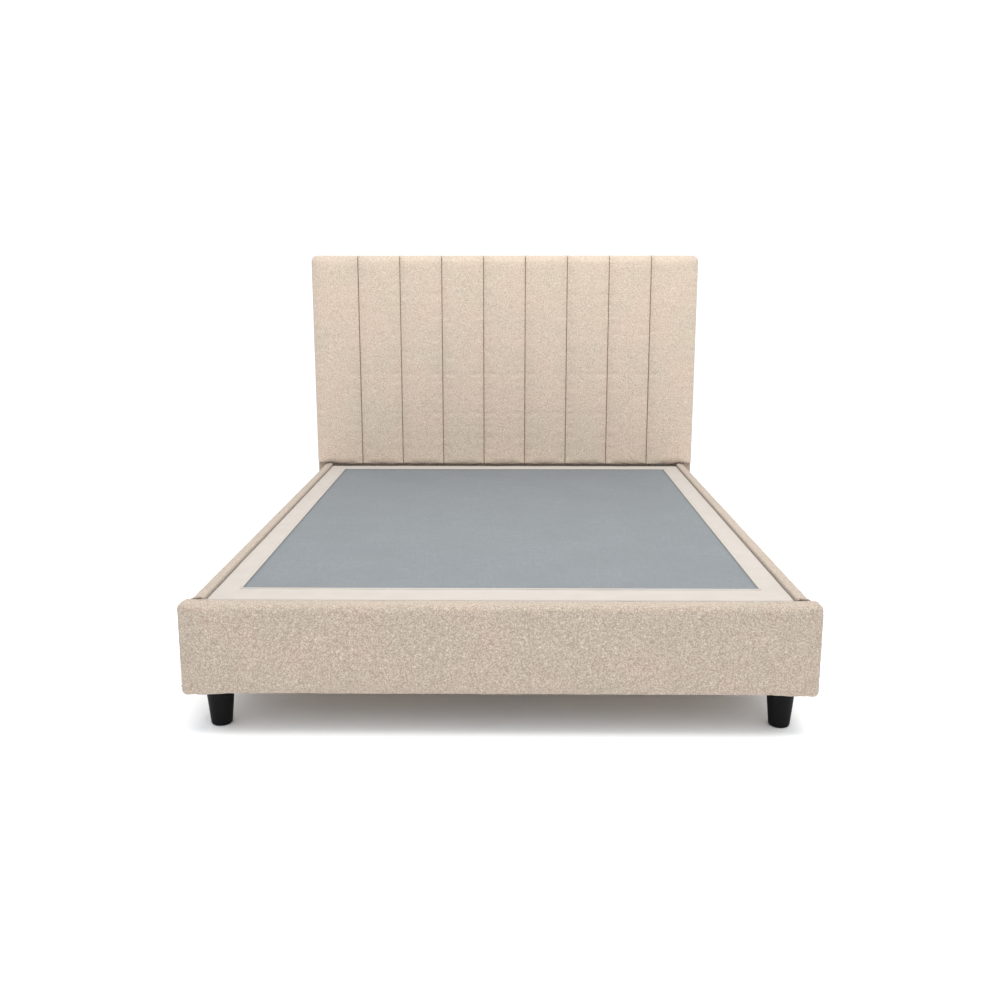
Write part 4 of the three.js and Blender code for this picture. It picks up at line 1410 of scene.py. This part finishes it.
class BED_OT_back_cloth(bpy.types.Operator):
    """Make the stretched cloth behind the headboard and its staples"""

    bl_idname = "bed.back_cloth"
    bl_label = "Back cloth"
    bl_options = {"REGISTER", "UNDO"}

    def execute(self, context):
        make_back_cloth()
        return {"FINISHED"}


class BED_OT_rail_covers(bpy.types.Operator):
    """Make the padding on both side rails"""

    bl_idname = "bed.rail_covers"
    bl_label = "Side rail covers"
    bl_options = {"REGISTER", "UNDO"}

    def execute(self, context):
        make_rail_covers()
        return {"FINISHED"}


class BED_OT_footboard_cover(bpy.types.Operator):
    """Make the padding on the footboard"""

    bl_idname = "bed.footboard_cover"
    bl_label = "Footboard cover"
    bl_options = {"REGISTER", "UNDO"}

    def execute(self, context):
        make_footboard_cover()
        return {"FINISHED"}


class BED_OT_foundation(bpy.types.Operator):
    """Make the border, the deck cloth and the piping"""

    bl_idname = "bed.foundation"
    bl_label = "Foundation cover"
    bl_options = {"REGISTER", "UNDO"}

    def execute(self, context):
        make_border()
        make_deck_cloth()
        return {"FINISHED"}


class BED_OT_legs(bpy.types.Operator):
    """Make the corner legs, the centre legs and the glides"""

    bl_idname = "bed.legs"
    bl_label = "Legs"
    bl_options = {"REGISTER", "UNDO"}

    def execute(self, context):
        make_legs()
        make_centre_supports()
        return {"FINISHED"}


class BED_OT_carcass(bpy.types.Operator):
    """Finish the boards and the fittings"""

    bl_idname = "bed.carcass"
    bl_label = "Timbers and metals"
    bl_options = {"REGISTER", "UNDO"}

    def execute(self, context):
        finish_carcass()
        return {"FINISHED"}


STEPS = [
    BED_OT_stage,
    BED_OT_channels,
    BED_OT_stitching,
    BED_OT_headboard_cover,
    BED_OT_back_cloth,
    BED_OT_rail_covers,
    BED_OT_footboard_cover,
    BED_OT_foundation,
    BED_OT_legs,
    BED_OT_carcass,
]


def main():
    register()
    for step in STEPS:
        getattr(bpy.ops.bed, step.bl_idname.split(".")[1])()


class BED_PT_parts(bpy.types.Panel):
    """Lists the bed's parts in the sidebar."""

    bl_label = "Bed"
    bl_idname = "BED_PT_parts"
    bl_space_type = "VIEW_3D"
    bl_region_type = "UI"
    bl_category = "Bed"

    def draw(self, context):
        for step in STEPS:
            self.layout.operator(step.bl_idname, text=step.bl_label)


GROUPS = {
    "bed_headboard": BedHeadboardSizes,
    "bed_base": BedBaseSizes,
    "bed_colours": BedColours,
    "bed_stage": BedStage,
}


def register():
    for name, group in GROUPS.items():
        bpy.utils.register_class(group)
        setattr(bpy.types.Scene, name, PointerProperty(type=group))
    for cls in [*STEPS, BED_PT_parts]:
        bpy.utils.register_class(cls)


def unregister():
    for cls in reversed([*STEPS, BED_PT_parts]):
        bpy.utils.unregister_class(cls)
    for name, group in reversed(GROUPS.items()):
        delattr(bpy.types.Scene, name)
        bpy.utils.unregister_class(group)


if __name__ == "__main__":
    main()
